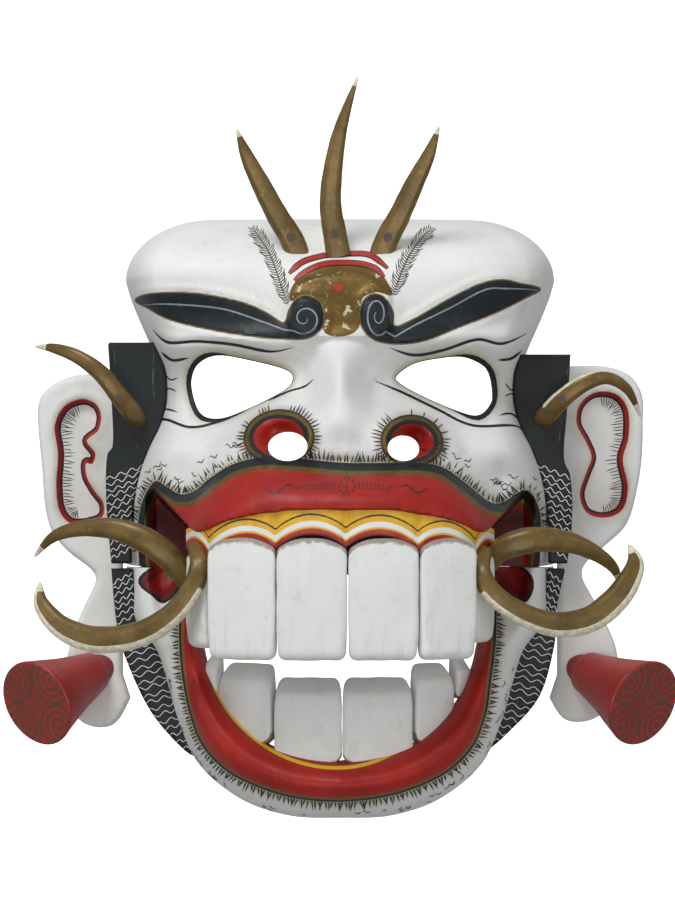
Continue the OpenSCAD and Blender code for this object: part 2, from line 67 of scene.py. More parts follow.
# ---- The carver's curves, in millimetres: x across, d in front of the rear rim, z above the parting line ----
def clamp(v, lo=0.0, hi=1.0):
    return np.minimum(np.maximum(v, lo), hi)


def mix(a, b, t):
    return a + (b - a) * t


def ease(t):
    c = clamp(t)
    return c * c * (3 - 2 * c)


def quarter(t):
    c = 1 - clamp(t)
    return np.sqrt(np.maximum(0, 1 - c * c))


def bump(x, z, cx, cz, rx, rz, h):
    return h * np.exp(-(((x - cx) / rx) ** 2) - ((z - cz) / rz) ** 2)


def curve(points, t):
    """The smooth curve through (place, value) points."""
    p = np.array(points, float)
    t = clamp(np.asarray(t, float), p[0, 0], p[-1, 0])
    i = np.clip(np.searchsorted(p[:, 0], t, side="right") - 1, 0, len(p) - 2)
    lo, hi = np.maximum(np.arange(len(p)) - 1, 0), np.minimum(np.arange(len(p)) + 1, len(p) - 1)
    slope = (p[hi, 1] - p[lo, 1]) / (p[hi, 0] - p[lo, 0])
    w = p[i + 1, 0] - p[i, 0]
    s = (t - p[i, 0]) / w
    return (p[i, 1] * (2 * s**3 - 3 * s**2 + 1) + slope[i] * w * (s**3 - 2 * s**2 + s)
            + p[i + 1, 1] * (3 * s**2 - 2 * s**3) + slope[i + 1] * w * (s**3 - s**2))


def spline(points, steps=8, closed=False):
    """The smooth line through points."""
    p = np.array(points, float)
    n = len(p)
    rows = []
    for i in range(n if closed else n - 1):
        a, b, c, d = (p[(i + k) % n] if closed else p[min(max(i + k, 0), n - 1)] for k in (-1, 0, 1, 2))
        for k in range(steps):
            s = k / steps
            rows.append(0.5 * (2 * b + (c - a) * s + (2 * a - 5 * b + 4 * c - d) * s * s
                               + (3 * b - a - 3 * c + d) * s**3))
    if not closed:
        rows.append(p[-1])
    return np.array(rows)


def even(points, step):
    """The same line with points an even step apart."""
    p = np.array(points, float)
    run = np.concatenate([[0], np.cumsum(np.linalg.norm(np.diff(p, axis=0), axis=1))])
    n = max(2, int(run[-1] / step) + 1)
    at = np.linspace(0, run[-1], n)
    return np.stack([np.interp(at, run, p[:, k]) for k in range(p.shape[1])], 1)


def away(x, z, line, closed=True):
    """Distance from each point to a line; with a closed line it is positive inside."""
    p = np.array(line, float)
    q = np.roll(p, -1, axis=0) if closed else p[1:]
    p = p if closed else p[:-1]
    x, z = np.asarray(x, float), np.asarray(z, float)
    best = np.full(x.shape, 1e9)
    inside = np.zeros(x.shape, bool)
    for (ax, az), (bx, bz) in zip(p, q):
        ex, ez = bx - ax, bz - az
        t = clamp(((x - ax) * ex + (z - az) * ez) / max(1e-9, ex * ex + ez * ez))
        best = np.minimum(best, np.hypot(x - ax - t * ex, z - az - t * ez))
        if closed:
            inside ^= ((az > z) != (bz > z)) & (x < ax + (z - az) / (bz - az if bz != az else 1e-9) * ex)
    return np.where(inside, best, -best) if closed else best


def wobble(a, b, c, size, seed=0.0):
    """A slow unevenness of hand carving, between about -1 and 1."""
    k = 2 * math.pi / size
    return (np.sin(k * a + 1.7 * np.sin(0.61 * k * b + seed) + seed)
            + np.sin(0.83 * k * b + 1.3 * np.sin(0.7 * k * c - seed))
            + np.sin(0.9 * k * c + 1.1 * np.sin(0.53 * k * a + 2 * seed))) / 3


# ---- The face's form ----
SIDE_LINE = [(-3, 128), (15, 128), (33, 127.5), (43, 126), (55, 122.5), (69, 116.5), (81, 111), (94, 108),
             (107, 107.5),
             (117, 108.5), (128, 112.5), (145, 120), (159, 125.5), (168, 128)]
SKULL_LINE = [(0, 74), (40, 88), (70, 98), (100, 92), (125, 99), (150, 104), (170, 101), (186, 93),
              (206, 82)]
LIP_TOP = {"left": [(0, 62), (27, 63), (43, 64), (57, 61), (68, 55), (77, 48), (92, 43), (98, 46),
                    (107, 50), (116, 44)],
           "right": [(0, 62), (20, 61), (38, 62), (53, 60), (63, 55), (74, 47), (91, 38), (98, 41),
                     (106, 45), (116, 40)]}
LIP_BOTTOM = [(0, 37), (30, 36.5), (60, 31), (80, 24), (90, 31), (100, 40), (107, 46), (116, 42)]
LIP_FRONT = [(0, 184), (30, 182), (55, 176), (70, 166), (78, 152), (84, 134), (96, 104), (107, 78),
             (114, 64)]
EYES = {"left": [(-86, 106), (-82, 117), (-70, 122), (-51, 119), (-32, 114), (-27, 109), (-32, 102),
                 (-54, 91), (-70, 86),
                 (-81, 90)],
        "right": [(88, 105), (84, 115), (71, 121), (55, 120), (42, 117), (33, 111), (33, 107), (45, 100),
                  (66, 91), (79, 88),
                  (87, 95)]}
NOSTRILS = {"left": ((-34, 75, 17, 13), (-29, 70, 11, 8)), "right": ((40, 73, 15, 12), (35, 69, 9, 7))}
BROWS = {"left": [(-120, 156), (-104, 158), (-80, 157), (-56, 152), (-42, 146), (-32, 140), (-29, 147),
                  (-24, 154), (-17, 155),
                  (-11, 151), (-9, 144), (-11, 136), (-19, 131), (-34, 131), (-54, 133), (-76, 137),
                  (-98, 143), (-111, 150)],
         "right": [(116, 161), (104, 163), (92, 165), (78, 162), (60, 153), (43, 143), (31, 138), (30, 146),
                   (25, 154), (18, 156),
                   (13, 152), (11, 145), (13, 136), (20, 130), (32, 128), (48, 130), (68, 138), (90, 147),
                   (106, 155)]}
PANEL = [(-28, 152), (-27, 161), (-20, 168), (-9, 173), (12, 173), (22, 169), (28, 161), (29, 155),
         (21, 157), (13, 154),
         (11, 146), (11, 138), (6, 133), (-4, 132), (-10, 136), (-9, 146), (-13, 153), (-19, 155)]
BAND_OUT = [(-29, 168), (-21, 175), (-8, 179), (5, 180), (17, 179), (27, 171)]
BAND_IN = [(-26, 164), (-18, 170), (-7, 174), (10, 174), (20, 171), (25, 166)]
UPPER_LIP = [(-114, -6), (-118, 10), (-118, 24), (-115, 38), (-107, 50), (-99, 47), (-91, 43), (-82, 45),
             (-73, 52), (-60, 60),
             (-43, 64), (-20, 63), (3, 61), (25, 61), (44, 61), (58, 58), (72, 48), (84, 39), (92, 38),
             (99, 42), (106, 45), (113, 40),
             (117, 28), (117, 12), (115, -6)]
RECESSES = {"left": [(-108, -4), (-111, 14), (-110, 28), (-105, 40), (-100, 41), (-93, 34), (-85, 26),
                     (-84, -4)],
            "right": [(107, -4), (109, 14), (109, 27), (105, 35), (98, 32), (84, 24), (79, 19), (79, -4)]}


def by_side(tables, x, value=None):
    value = np.abs(x) if value is None else value
    return np.where(np.asarray(x) < 0, curve(tables["left"], value), curve(tables["right"], value))


def half_width(z):
    z = np.asarray(z, float)
    rise = np.maximum(z - DOME_FROM, 0) / (CROWN - DOME_FROM)
    dome = DOME_IN + DOME_WIDE * np.sqrt(np.maximum(0, 1 - rise**2))
    return np.where(z < DOME_FROM, curve(SIDE_LINE, z), dome)


def features(x, z):
    """The skull with its nose, sockets, folds and brow pad, before the lip."""
    a = np.abs(x)
    skull = curve(SKULL_LINE, z) * (1 - 0.36 * (a / half_width(z)) ** 2)
    nose = bump(a, z, 0, 85, 25, 21, 52) + bump(a, z, 36, 76, 20, 16, 40) + bump(a, z, 0, 110, 13, 17, 24)
    folds = (bump(a, z, 60, 105, 34, 17, -12) + bump(a, z, 62, 130, 52, 9, 9)
             + bump(a, z, 86, 66, 26, 15, 15)
             + bump(a, z, 92, 172, 34, 20, 10) + bump(a, z, 0, 184, 26, 12, -7)
             + bump(a, z, 108, 32, 7, 22, 9))
    pad = 4 * ease((30 - a) / 3) * ease((z - 130) / 3) * ease((170 - a * a / 90 - z) / 3)
    pad = pad + 3 * ease((10.5 - np.hypot(a - 20, z - 142)) / 3)
    return skull + nose + folds + pad


def upper_face(x, z):
    h = features(x, z)
    d = np.maximum(0, z - by_side(LIP_TOP, x))
    return h + 0.5 * np.maximum(0, curve(LIP_FRONT, np.abs(x))
                                - h) * np.exp(-((d / 15) ** 2)) * ease((114 - np.abs(x)) / 16)


def edge_round(x, z):
    return quarter((half_width(z) - np.abs(x)) / 22) * quarter((CROWN - z) / 34)


def face_form(x, z):
    """Depth of the carved face in front of the rear rim, without its fine cuts and without the rounded border."""
    a = np.abs(x)
    top, low, front = by_side(LIP_TOP, x), curve(LIP_BOTTOM, a), curve(LIP_FRONT, a)
    start = upper_face(x, top + 2)
    swell = mix(start, front, np.sin(math.pi / 2 * clamp((top - z) / (top - low))))
    lip = np.where(z > low, swell, mix(front, front - 16, ease((low - z) / 6)))
    body = mix(upper_face(x, z), lip, np.where(a > 107, 0, ease((top + 1.5 - z) / 3)))
    hollow = ease((a - 78) / 10) * ease((115 - a) / 8) * ease((low - z) / 7)
    return mix(body, 46, hollow)


def share(x, z, ring):
    """Distance from a ring's middle as a share of its radius."""
    return np.hypot((x - ring[0]) / ring[2], (z - ring[1]) / ring[3])


CREASES = [  # points, width, and how deep the chisel went
    ([(-109, 138), (-99, 130), (-81, 130), (-61, 128), (-40, 124), (-27, 126)], 1.7, 1.1),
    ([(-104, 125), (-97, 120), (-87, 121)], 1.5, 0.7),
    ([(-104, 114), (-99, 109), (-94, 110)], 0.8, 0.3),
    ([(-105, 102), (-100, 104), (-95, 102)], 0.8, 0.3),
    ([(-110, 89), (-103, 92), (-94, 90)], 1.0, 0.4),
    ([(-113, 81), (-103, 86), (-86, 81), (-70, 84), (-54, 90)], 1.5, 1.0),
    ([(-41, 96), (-30, 101), (-20, 104), (-15, 108)], 1.1, 0.8),
    ([(28, 126), (42, 122), (59, 125), (78, 131), (93, 129), (109, 136)], 1.7, 1.1),
    ([(91, 120), (99, 121), (106, 126)], 1.5, 0.7),
    ([(96, 107), (100, 103), (104, 106)], 0.8, 0.3),
    ([(96, 99), (100, 101), (105, 98)], 0.8, 0.3),
    ([(92, 88), (100, 89), (110, 82)], 1.1, 0.4),
    ([(20, 107), (35, 101), (56, 91), (76, 82), (102, 82), (112, 75)], 1.5, 1.0),
]
BROW_LINES = {"left": [(-114, 152), (-91, 151), (-66, 148), (-45, 141), (-32, 136)],
              "right": [(114, 160), (95, 160), (82, 159), (63, 149), (43, 139), (31, 132)]}
# The curl at the end of each brow's line: middle, half width, half height, and its turn in degrees.
CURLS = {"left": ((-20, 142), 9, 9, 230, 720), "right": ((21, 144), 7, 12, -50, -590)}


def curl(middle, wide, tall, start, end):
    """A line that winds inwards, from its outer end to its middle."""
    a = np.radians(np.linspace(start, end, 40))
    size = np.linspace(1, 0.16, 40)
    return np.stack([middle[0] + wide * size * np.cos(a), middle[1] + tall * size * np.sin(a)], 1)


def face_surface(x, z):
    """The face's outer surface with brow ridges, chiselled creases, nostril funnels and the unevenness of the knife."""
    h = face_form(x, z)
    for side in SIDES:
        ridge = away(x, z, spline(BROWS[side], 3, True))
        h = h + 1.7 * ease((ridge + 0.8) / 1.8) + 1.1 * np.exp(-(((ridge + 2.5) / 2.2) ** 2))
        reach = share(x, z, NOSTRILS[side][0])
        h = h - 24 * ease((0.97 - reach) / 0.75) + 2.4 * np.exp(-(((reach - 1.06) / 0.13) ** 2))
        h = h + 1.2 * np.exp(-(((away(x, z, spline(EYES[side], 3, True)) + 2) / 2.6) ** 2))
    for line, width, cut in CREASES:
        near = away(x, z, spline(line, 3), closed=False)
        h = h - cut * np.exp(-((near / (0.9 * width)) ** 2)) + 0.45 * cut * np.exp(-(((near
                                                                                       - 3.2) / 2.4) ** 2))
    # The nose comes forward as a ridge with flat flanks.
    a = np.abs(x)
    h = h + 2.2 * np.exp(-((x / 5.0) ** 2)) * ease((z - 92) / 12) * ease((128 - z) / 14)
    h = h - 2.0 * np.exp(-(((a - 19) / 5) ** 2)) * ease((z - 84) / 8) * ease((112 - z) / 12)
    return h + 0.28 * wobble(x, z, h, 31, 1.0) + 0.12 * wobble(x, z, h, 9, 4.0)


def face_outside(x, z):
    return face_surface(x, z) * edge_round(x, z)


def face_inside(x, z):
    """Depth of the hollow behind the face, after the knife, at the same border share as the outside."""
    cap = curve([(0, 150), (60, 140), (78, 104), (104, 44), (128, 40)], np.abs(x)) - np.maximum(0, z
                                                                                                - 50) * 0.75
    low = np.min([face_form(x + i, clamp(z + k, 0, CROWN)) for i in (-5, 0, 5) for k in (-5, 0, 5)], axis=0)
    return np.maximum(0, np.minimum(np.minimum(cap, low - CARVED_WALL), face_surface(x, z) - 4.5)
                      + 0.5 * wobble(x, z, 0 * x, 17, 2.0))


# ---- Making a piece ----
def coords(bm):
    return np.array([v.co for v in bm.verts], float).reshape(-1, 3)


def put(bm, points):
    for v, p in zip(bm.verts, points):
        v.co = p


def metres(x, d, z):
    """The carver's millimetres as metres in the mask's own frame."""
    return np.stack([np.asarray(x) * MM, (RIM - np.asarray(d)) * MM, (np.asarray(z) - CROWN) * MM], -1)


def flat_sheet(columns, rows):
    """A flat grid with its columns and rows at the given places, in millimetres."""
    bm = bmesh.new()
    bmesh.ops.create_grid(bm, x_segments=len(columns) - 1, y_segments=len(rows) - 1, size=1)
    c = coords(bm)
    i = np.rint((c[:, 0] + 1) / 2 * (len(columns) - 1)).astype(int)
    j = np.rint((c[:, 1] + 1) / 2 * (len(rows) - 1)).astype(int)
    put(bm, np.stack([np.asarray(columns, float)[i], np.asarray(rows, float)[j], 0 * c[:, 0]], 1))
    return bm, i, j


def trim(bm, outline, keep_inside):
    """Cuts a flat sheet along a closed outline, and draws the cut edge onto the outline."""
    line = even(np.vstack([outline, outline[:1]]), 0.8)
    middles = np.array([f.calc_center_median() for f in bm.faces])
    inside = away(middles[:, 0], middles[:, 1], line) > 0
    gone = [f for f, k in zip(bm.faces[:], inside) if k != keep_inside]
    bmesh.ops.delete(bm, geom=gone, context="FACES")
    for v in bm.verts:
        if v.is_boundary:
            gap = line - np.array(v.co[:2])
            k = int(np.argmin((gap**2).sum(1)))
            if (gap[k] ** 2).sum() < 9:
                v.co.x, v.co.y = line[k]


def thicken(bm):
    """Gives a flat sheet a second layer one unit behind it, and says which vertices lie on that layer."""
    for f in bm.faces:
        if f.normal.z < 0:
            f.normal_flip()
    bmesh.ops.solidify(bm, geom=bm.faces[:], thickness=1.0)
    c = coords(bm)
    return c, np.abs(c[:, 2]) > 0.5


def layers(bm, behind, front=0, rim=2, back=1):
    for f in bm.faces:
        n = sum(behind[v.index] for v in f.verts)
        f.material_index = front if n == 0 else back if n == len(f.verts) else rim


class Brush:
    """Lays thin painted strokes on the surface that faces -Y."""

    def __init__(self, bm, lift=0.16, span=(0, 260)):
        bm.normal_update()
        self.bm, self.lift, self.tree = bm, lift * MM, BVHTree.FromBMesh(bm)
        self.from_y = (RIM - span[1]) * MM

    def touch(self, x, z, deepest=None):
        hit, normal, _, _ = self.tree.ray_cast(Vector((x * MM, self.from_y, (z - CROWN) * MM)),
                                               Vector((0, 1, 0)))
        if hit is None or (deepest is not None and hit.y > deepest):
            return None
        if normal.y > 0:
            normal = -normal
        return hit + normal * self.lift

    def stroke(self, points, width, ink, taper=(0.15, 0.15), step=1.2, jitter=0.0):
        p = even(points, step)
        if jitter:
            p = p + np.array([[rng.uniform(-jitter, jitter), rng.uniform(-jitter, jitter)] for _ in p])
        n = len(p)
        along = np.gradient(p, axis=0)
        along /= np.maximum(1e-9, np.linalg.norm(along, axis=1))[:, None]
        side = np.stack([-along[:, 1], along[:, 0]], 1)
        t = np.linspace(0, 1, n)
        half = 0.5 * width * np.minimum(1, np.minimum(taper[0] + t * 6, taper[1] + (1 - t) * 4))
        left, right = p + side * half[:, None], p - side * half[:, None]
        rows = []
        for a, b in zip(left, right):
            u, v = self.touch(*a), self.touch(*b)
            if u is None or v is None or abs(u.y - v.y) > 6 * MM or (rows
                                                                     and abs(u.y - rows[-1][0].y) > 7 * MM):
                self.ribbon(rows, ink)
                rows = []
                continue
            rows.append((u, v))
        self.ribbon(rows, ink)

    def ribbon(self, rows, ink):
        if len(rows) < 2:
            return
        made = bmesh.ops.create_grid(self.bm, x_segments=len(rows) - 1, y_segments=1, size=1)["verts"]
        for v in made:
            i = int(round((v.co.x + 1) / 2 * (len(rows) - 1)))
            v.co = rows[i][0 if v.co.y > 0 else 1]
        faces = {f for v in made for f in v.link_faces}
        for f in faces:
            f.normal_update()
            if f.normal.y > 0:
                f.normal_flip()
            f.material_index = ink

    def blot(self, x, z, r, ink, rz=None):
        rz = rz or r
        self.stroke([(x - r, z), (x, z), (x + r, z)], 2 * rz, ink, (0.35, 0.35), step=r / 2.2)

    def ticks(self, line, spacing, length, width, ink, outward, bend=0.25, skip=None):
        """Short hairs that stand off a line, on the side that outward gives."""
        p = even(line, spacing)
        along = np.gradient(p, axis=0)
        along /= np.maximum(1e-9, np.linalg.norm(along, axis=1))[:, None]
        for q, t in zip(p, along):
            if skip and skip(*q):
                continue
            n = np.array([-t[1], t[0]]) * outward
            size = length * rng.uniform(0.65, 1.15)
            lean = rng.uniform(-bend, bend)
            a = q + n * 0.3
            tip = q + n * size + t * lean * size
            self.stroke([a, (a + tip) / 2 + t * lean * 0.2 * size, tip], width * rng.uniform(0.8, 1.15),
                        ink, (1, 0.1), step=size / 3)

    def feather(self, line, spacing, length, width, ink, way):
        """Fine hairs that sweep up along a spine."""
        p = even(line, spacing)
        along = -np.gradient(p, axis=0)
        along /= np.maximum(1e-9, np.linalg.norm(along, axis=1))[:, None]
        for k, (q, t) in enumerate(zip(p, along)):
            n = np.array([-t[1], t[0]]) * way
            size = length * rng.uniform(0.7, 1.1) * min(1, 0.45 + 0.12 * k, 0.4 + 0.12 * (len(p) - k))
            tip = q + n * size * 0.72 + t * size * rng.uniform(0.5, 0.85)
            self.stroke([q, q + n * size * 0.45 + t * size * 0.22, tip], width, ink, (1, 0.15),
                        step=size / 4)

    def squiggle(self, x, z, size, width, ink, turn=0.0):
        t = np.linspace(0, 1, 9)
        a = math.radians(turn)
        u, v = (t - 0.5) * size, np.sin(t * 2 * math.pi * 1.3) * size * 0.16
        self.stroke(np.stack([x + u * math.cos(a) - v * math.sin(a), z + u * math.sin(a) + v * math.cos(a)],
                             1), width, ink, step=size / 8)


def carry(bm, marks):
    """Stores paint values on the vertices of a skin that is still to be sealed."""
    layer = {key: bm.verts.layers.float.new(key) for key in marks}
    for v in bm.verts:
        for key in marks:
            v[layer[key]] = marks[key][v.index]


def seal(bm):
    """Joins the seam of a swept skin and closes its ends."""
    bmesh.ops.remove_doubles(bm, verts=bm.verts, dist=1e-6)
    bmesh.ops.holes_fill(bm, edges=[e for e in bm.edges if e.is_boundary], sides=0)
    bmesh.ops.recalc_face_normals(bm, faces=bm.faces)


def settle(bm, name, materials, body, nodes, attributes=None, crisp=38):
    """Turns a finished bmesh into a piece that rides on its body in place of CAD nodes."""
    mesh = bpy.data.meshes.new(name)
    bm.to_mesh(mesh)
    count = len(mesh.vertices)
    for key, values in (attributes or {}).items():
        data = np.zeros(count, np.float32)
        data[: len(values)] = values
        mesh.attributes.new(key, "FLOAT", "POINT").data.foreach_set("value", data)
    bm.free()
    for m in materials:
        mesh.materials.append(m)
    mesh.shade_smooth()
    mesh.set_sharp_from_angle(angle=math.radians(crisp))
    piece = bpy.data.objects.new(name, mesh)
    bpy.context.scene.collection.objects.link(piece)
    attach(piece, body)
    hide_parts(*nodes)
    return piece


# ---- Paint ----
class Wire:
    """One output of a shader node, with its arithmetic written as in Python."""

    def __init__(self, paint, socket):
        self.paint, self.socket = paint, socket

    def _maths(self, kind, a, b=0.0):
        return self.paint.node("Math", {"operation": kind}, {0: a, 1: b})

    def __add__(self, other):
        return self._maths("ADD", self, other)

    __radd__ = __add__

    def __sub__(self, other):
        return self._maths("SUBTRACT", self, other)

    def __rsub__(self, other):
        return self._maths("SUBTRACT", other, self)

    def __mul__(self, other):
        return self._maths("MULTIPLY", self, other)

    __rmul__ = __mul__

    def __truediv__(self, other):
        return self._maths("DIVIDE", self, other)

    def __neg__(self):
        return self._maths("MULTIPLY", self, -1.0)

    def least(self, other):
        return self._maths("MINIMUM", self, other)

    def most(self, other):
        return self._maths("MAXIMUM", self, other)

    def sine(self):
        return self._maths("SINE", self)

    def over(self, edge, soft):
        """0 below an edge and 1 above it, with a soft step."""
        return self.paint.node("MapRange", {"interpolation_type": "SMOOTHSTEP"},
                               {"Value": self, "From Min": edge - soft, "From Max": edge + soft})


class Paint:
    """A material in the making."""

    def __init__(self, name, coat=0.0, coat_roughness=0.25, specular=0.5):
        self.material = bpy.data.materials.new(name)
        self.material.use_nodes = True
        self.tree = self.material.node_tree
        self.shader = self.tree.nodes["Principled BSDF"]
        self.shader.inputs["Coat Weight"].default_value = coat
        self.shader.inputs["Coat Roughness"].default_value = coat_roughness
        self.shader.inputs["Specular IOR Level"].default_value = specular
        self.place = self.node("TexCoord", out="Object")

    def node(self, kind, settings=None, values=None, out=0):
        """Makes any shader node: its settings first, then the values or links of its sockets."""
        made = self.tree.nodes.new("ShaderNode" + kind)
        for key, value in (settings or {}).items():
            setattr(made, key, value)
        for key, value in (values or {}).items():
            if isinstance(value, Wire):
                self.tree.links.new(value.socket, made.inputs[key])
            else:
                made.inputs[key].default_value = value
        return Wire(self, made.outputs[out])

    def noise(self, scale, detail=3.0, roughness=0.55, distortion=0.0, out="Fac", at=None):
        return self.node("TexNoise", None, {"Vector": at or self.place, "Scale": scale, "Detail": detail,
                                            "Roughness": roughness,
                                            "Distortion": distortion}, out)

    def stretched(self, x, y, z):
        return self.node("Mapping", None, {"Vector": self.place, "Scale": (x, y, z)})

    def attribute(self, name):
        return self.node("Attribute", {"attribute_name": name}, out="Fac")

    def blend(self, factor, a, b):
        """Colour a where factor is 0, and b where it is 1."""
        return self.node("Mix", {"data_type": "RGBA"}, {0: factor, 6: rgba(a), 7: rgba(b)}, 2)

    def finish(self, colour, roughness, height=None, bump=0.1, metallic=0.0, reach=0.001):
        for key, value in (("Base Color", colour), ("Roughness", roughness), ("Metallic", metallic)):
            if isinstance(value, Wire):
                self.tree.links.new(value.socket, self.shader.inputs[key])
            else:
                self.shader.inputs[key].default_value = rgba(value) if key == "Base Color" else value
        if height is not None:
            up = self.node("Bump", None, {"Strength": bump, "Distance": reach, "Height": height}, "Normal")
            self.tree.links.new(up.socket, self.shader.inputs["Normal"])
        return self.material


def rgba(colour):
    return colour if isinstance(colour, Wire) else (*colour[:3], 1.0)


def tone(name):
    return tuple(getattr(bpy.context.scene.mask_colours, name))


def once(make):
    """A finish is made at its first use and shared after that."""
    kept = {}

    def get():
        if "m" not in kept:
            kept["m"] = make()
        return kept["m"]

    return get


def ragged(p, distance, soft=0.22, rough=0.5):
    """1 where a distance in millimetres is above 0, with the uneven edge of a brush."""
    return (distance + (p.noise(620, 2) - 0.5) * rough).over(0.0, soft)


def white_coat(p):
    """Matt white paint with faint grime, brush drags and pinholes: colour, roughness and height."""
    clouds, grime, drag = p.noise(16, 4, 0.6), p.noise(70, 6, 0.75), p.noise(150, 3, 0.6,
                                                                             at=p.stretched(1, 1, 0.3))
    colour = p.blend(clouds.over(0.5, 0.2), tone("white"), tone("white_shade"))
    colour = p.blend(grime.over(0.63, 0.09) * 0.3, colour, tone("dust"))
    pits = p.noise(900, 2, 0.5).over(0.75, 0.03)
    colour = p.blend(pits * 0.35, colour, tone("dust"))
    return colour, 0.5 + clouds * 0.18, drag * 0.55 + clouds * 0.6 + p.noise(330, 3) * 0.18 - pits * 0.5


def bronze_coat(p, chips):
    """Bronze paint, cloudy and rubbed, with cream chips where chips (0 to 1) allows them."""
    clouds, fine = p.noise(60, 5, 0.65), p.noise(380, 4, 0.6)
    colour = p.blend(clouds.over(0.5, 0.2), tone("bronze"), tone("bronze_dark"))
    colour = p.blend(fine.over(0.62, 0.08) * 0.5, colour, tone("bronze_light"))
    chip = (p.noise(210, 5, 0.7) + chips * 0.42).over(0.97, 0.03)
    return p.blend(chip, colour,
                   tone("cream")), chip, 0.34 + clouds * 0.2 + chip * 0.3, fine * 0.3 + clouds * 0.5 - chip * 0.8


def red_coat(p):
    clouds, streaks = p.noise(34, 5, 0.65), p.noise(130, 4, 0.6, at=p.stretched(1, 1, 0.35))
    colour = p.blend(clouds.over(0.5, 0.22), tone("red"), tone("red_dark"))
    colour = p.blend(streaks.over(0.62, 0.1) * 0.4, colour, tone("red_light"))
    return colour, 0.36 + clouds * 0.2, streaks * 0.5 + clouds * 0.4


@once
def face_paint():
    p = Paint("face_paint", coat=0.04, specular=0.28)
    colour, rough, height = white_coat(p)
    bronze, chip, _, _ = bronze_coat(p, p.attribute("worn"))
    red, red_rough, red_height = red_coat(p)
    streak = p.noise(260, 4, 0.6)
    ink = p.blend(streak.over(0.66, 0.1) * 0.12, tone("ink"), tone("ink_pale"))
    lip, nose, brow, panel, recess, lids = (p.attribute(k)
                                            for k in ("lip", "nose", "brow", "panel", "recess", "lids"))
    tint = p.attribute("tint") * (0.35 + p.noise(120, 4, 0.7) * 0.9)
    colour = p.blend((tint * 0.7).least(0.7), colour, tone("ochre"))
    is_panel = ragged(p, panel)
    colour = p.blend(is_panel, colour, bronze)
    # Nostrils: a bronze rim, a black ring, then the red funnel, darkening to deep red towards its middle as painted
    # shade.
    rim, ring, funnel = ragged(p, nose + 2.6), ragged(p, nose - 0.1), ragged(p, nose - 2.6)
    colour = p.blend(rim, colour, bronze)
    colour = p.blend(ring, colour, ink)
    # Painted shade: deep red where the nostril funnel is deepest.
    colour = p.blend(funnel, colour, p.blend(nose.over(11, 3), red, tone("red_deep")))
    lid = ragged(p, lids)
    colour = p.blend(lid, colour, ink)
    black = ragged(p, brow)
    colour = p.blend(black, colour, ink)
    # The lip: a black line, a bronze line, then red, darkened to deep red in the mouth corners' hollows as painted
    # shade.
    edge, line, body = ragged(p, lip), ragged(p, lip - 4.3), ragged(p, lip - 7.0)
    colour = p.blend(edge, colour, ink)
    colour = p.blend(line, colour, bronze)
    # Painted shade: inside the hollows at the corners of the mouth the red turns deep red.
    deep = ragged(p, recess - 0.5, 1.2)
    colour = p.blend(body, colour, p.blend(deep, red, tone("red_deep")))
    metal = (is_panel + rim + line).least(1.0) * (1 - body) * (1 - ring) * (1 - chip) * 0.35
    painted = (edge + black + funnel + is_panel).least(1.0)
    rough = rough * (1 - painted) + red_rough * painted
    return p.finish(colour, rough, height * (1 - painted) + red_height * painted, 0.22, metal, 0.0012)


@once
def jaw_paint():
    p = Paint("jaw_paint", coat=0.04, specular=0.28)
    colour, rough, height = white_coat(p)
    red, red_rough, red_height = red_coat(p)
    lip, seam, patch = (p.attribute(k) for k in ("lip", "seam", "patch"))
    tint = p.attribute("tint") * (0.3 + p.noise(120, 4, 0.7) * 0.8)
    colour = p.blend(tint.least(0.8), colour, tone("ochre"))
    ink = p.blend(p.noise(260, 4).over(0.66, 0.1) * 0.12, tone("ink"), tone("ink_pale"))
    outer, olive, body = ragged(p, lip), ragged(p, lip - 1.5), ragged(p, lip - 2.9)
    colour = p.blend(outer, colour, ink)
    colour = p.blend(olive, colour, tone("bronze"))
    colour = p.blend(body, colour, red)
    hollow_edge, hollow = ragged(p, patch + 1.8), ragged(p, patch)
    colour = p.blend(hollow_edge, colour, ink)
    colour = p.blend(hollow, colour, p.blend(0.5, red, tone("red_deep")))
    colour = p.blend(ragged(p, 0.8 - seam, 0.2, 0.3), colour, tone("yellow"))
    painted = (body + hollow).least(1.0)
    rough = rough * (1 - painted) + red_rough * painted
    return p.finish(colour, rough, height * (1 - painted) + red_height * painted, 0.22, 0.0, 0.0012)


@once
def tooth_white():
    p = Paint("tooth_white", coat=0.12)
    colour, rough, height = white_coat(p)
    root = p.attribute("root")
    streaks = p.noise(210, 4, 0.6, at=p.stretched(1, 1, 0.12))
    colour = p.blend(streaks.over(0.6, 0.08) * (0.08 + p.attribute("tip") * 0.2), colour, tone("dust"))
    # Painted shade: a brown band where each tooth meets the gum or the lip, a little stronger towards its sides.
    stain_and_shade = (root + (p.noise(300, 4) - 0.5) * 0.5).over(0.72, 0.12)
    colour = p.blend(stain_and_shade * 0.75, colour, tone("stain_and_shade"))
    return p.finish(colour, rough - 0.08, height + streaks * 0.8, 0.25, 0.0, 0.001)


@once
def gum_paint():
    p = Paint("gum_paint", coat=0.1)
    level = p.attribute("level")
    clouds = p.noise(80, 5, 0.7)
    yellow = p.blend(clouds.over(0.5, 0.2), tone("yellow"), tone("yellow_deep"))
    white, _, _ = white_coat(p)
    red, _, _ = red_coat(p)
    colour = p.blend(ragged(p, level - 0.9), tone("ink"), red)
    colour = p.blend(ragged(p, level - 4.1), colour, yellow)
    colour = p.blend(ragged(p, level - 5.2), colour, white)
    colour = p.blend(ragged(p, level - 8.2), colour, yellow)
    colour = p.blend(ragged(p, 0.5 - p.node("Math", {"operation": "ABSOLUTE"}, {0: level - 11.6})), colour,
                     tone("ink"))
    colour = p.blend(p.noise(150, 5, 0.7).over(0.68, 0.06) * 0.4, colour, tone("dust"))
    return p.finish(colour, 0.38 + clouds * 0.15, clouds * 0.8 + p.noise(330, 3) * 0.3, 0.25)


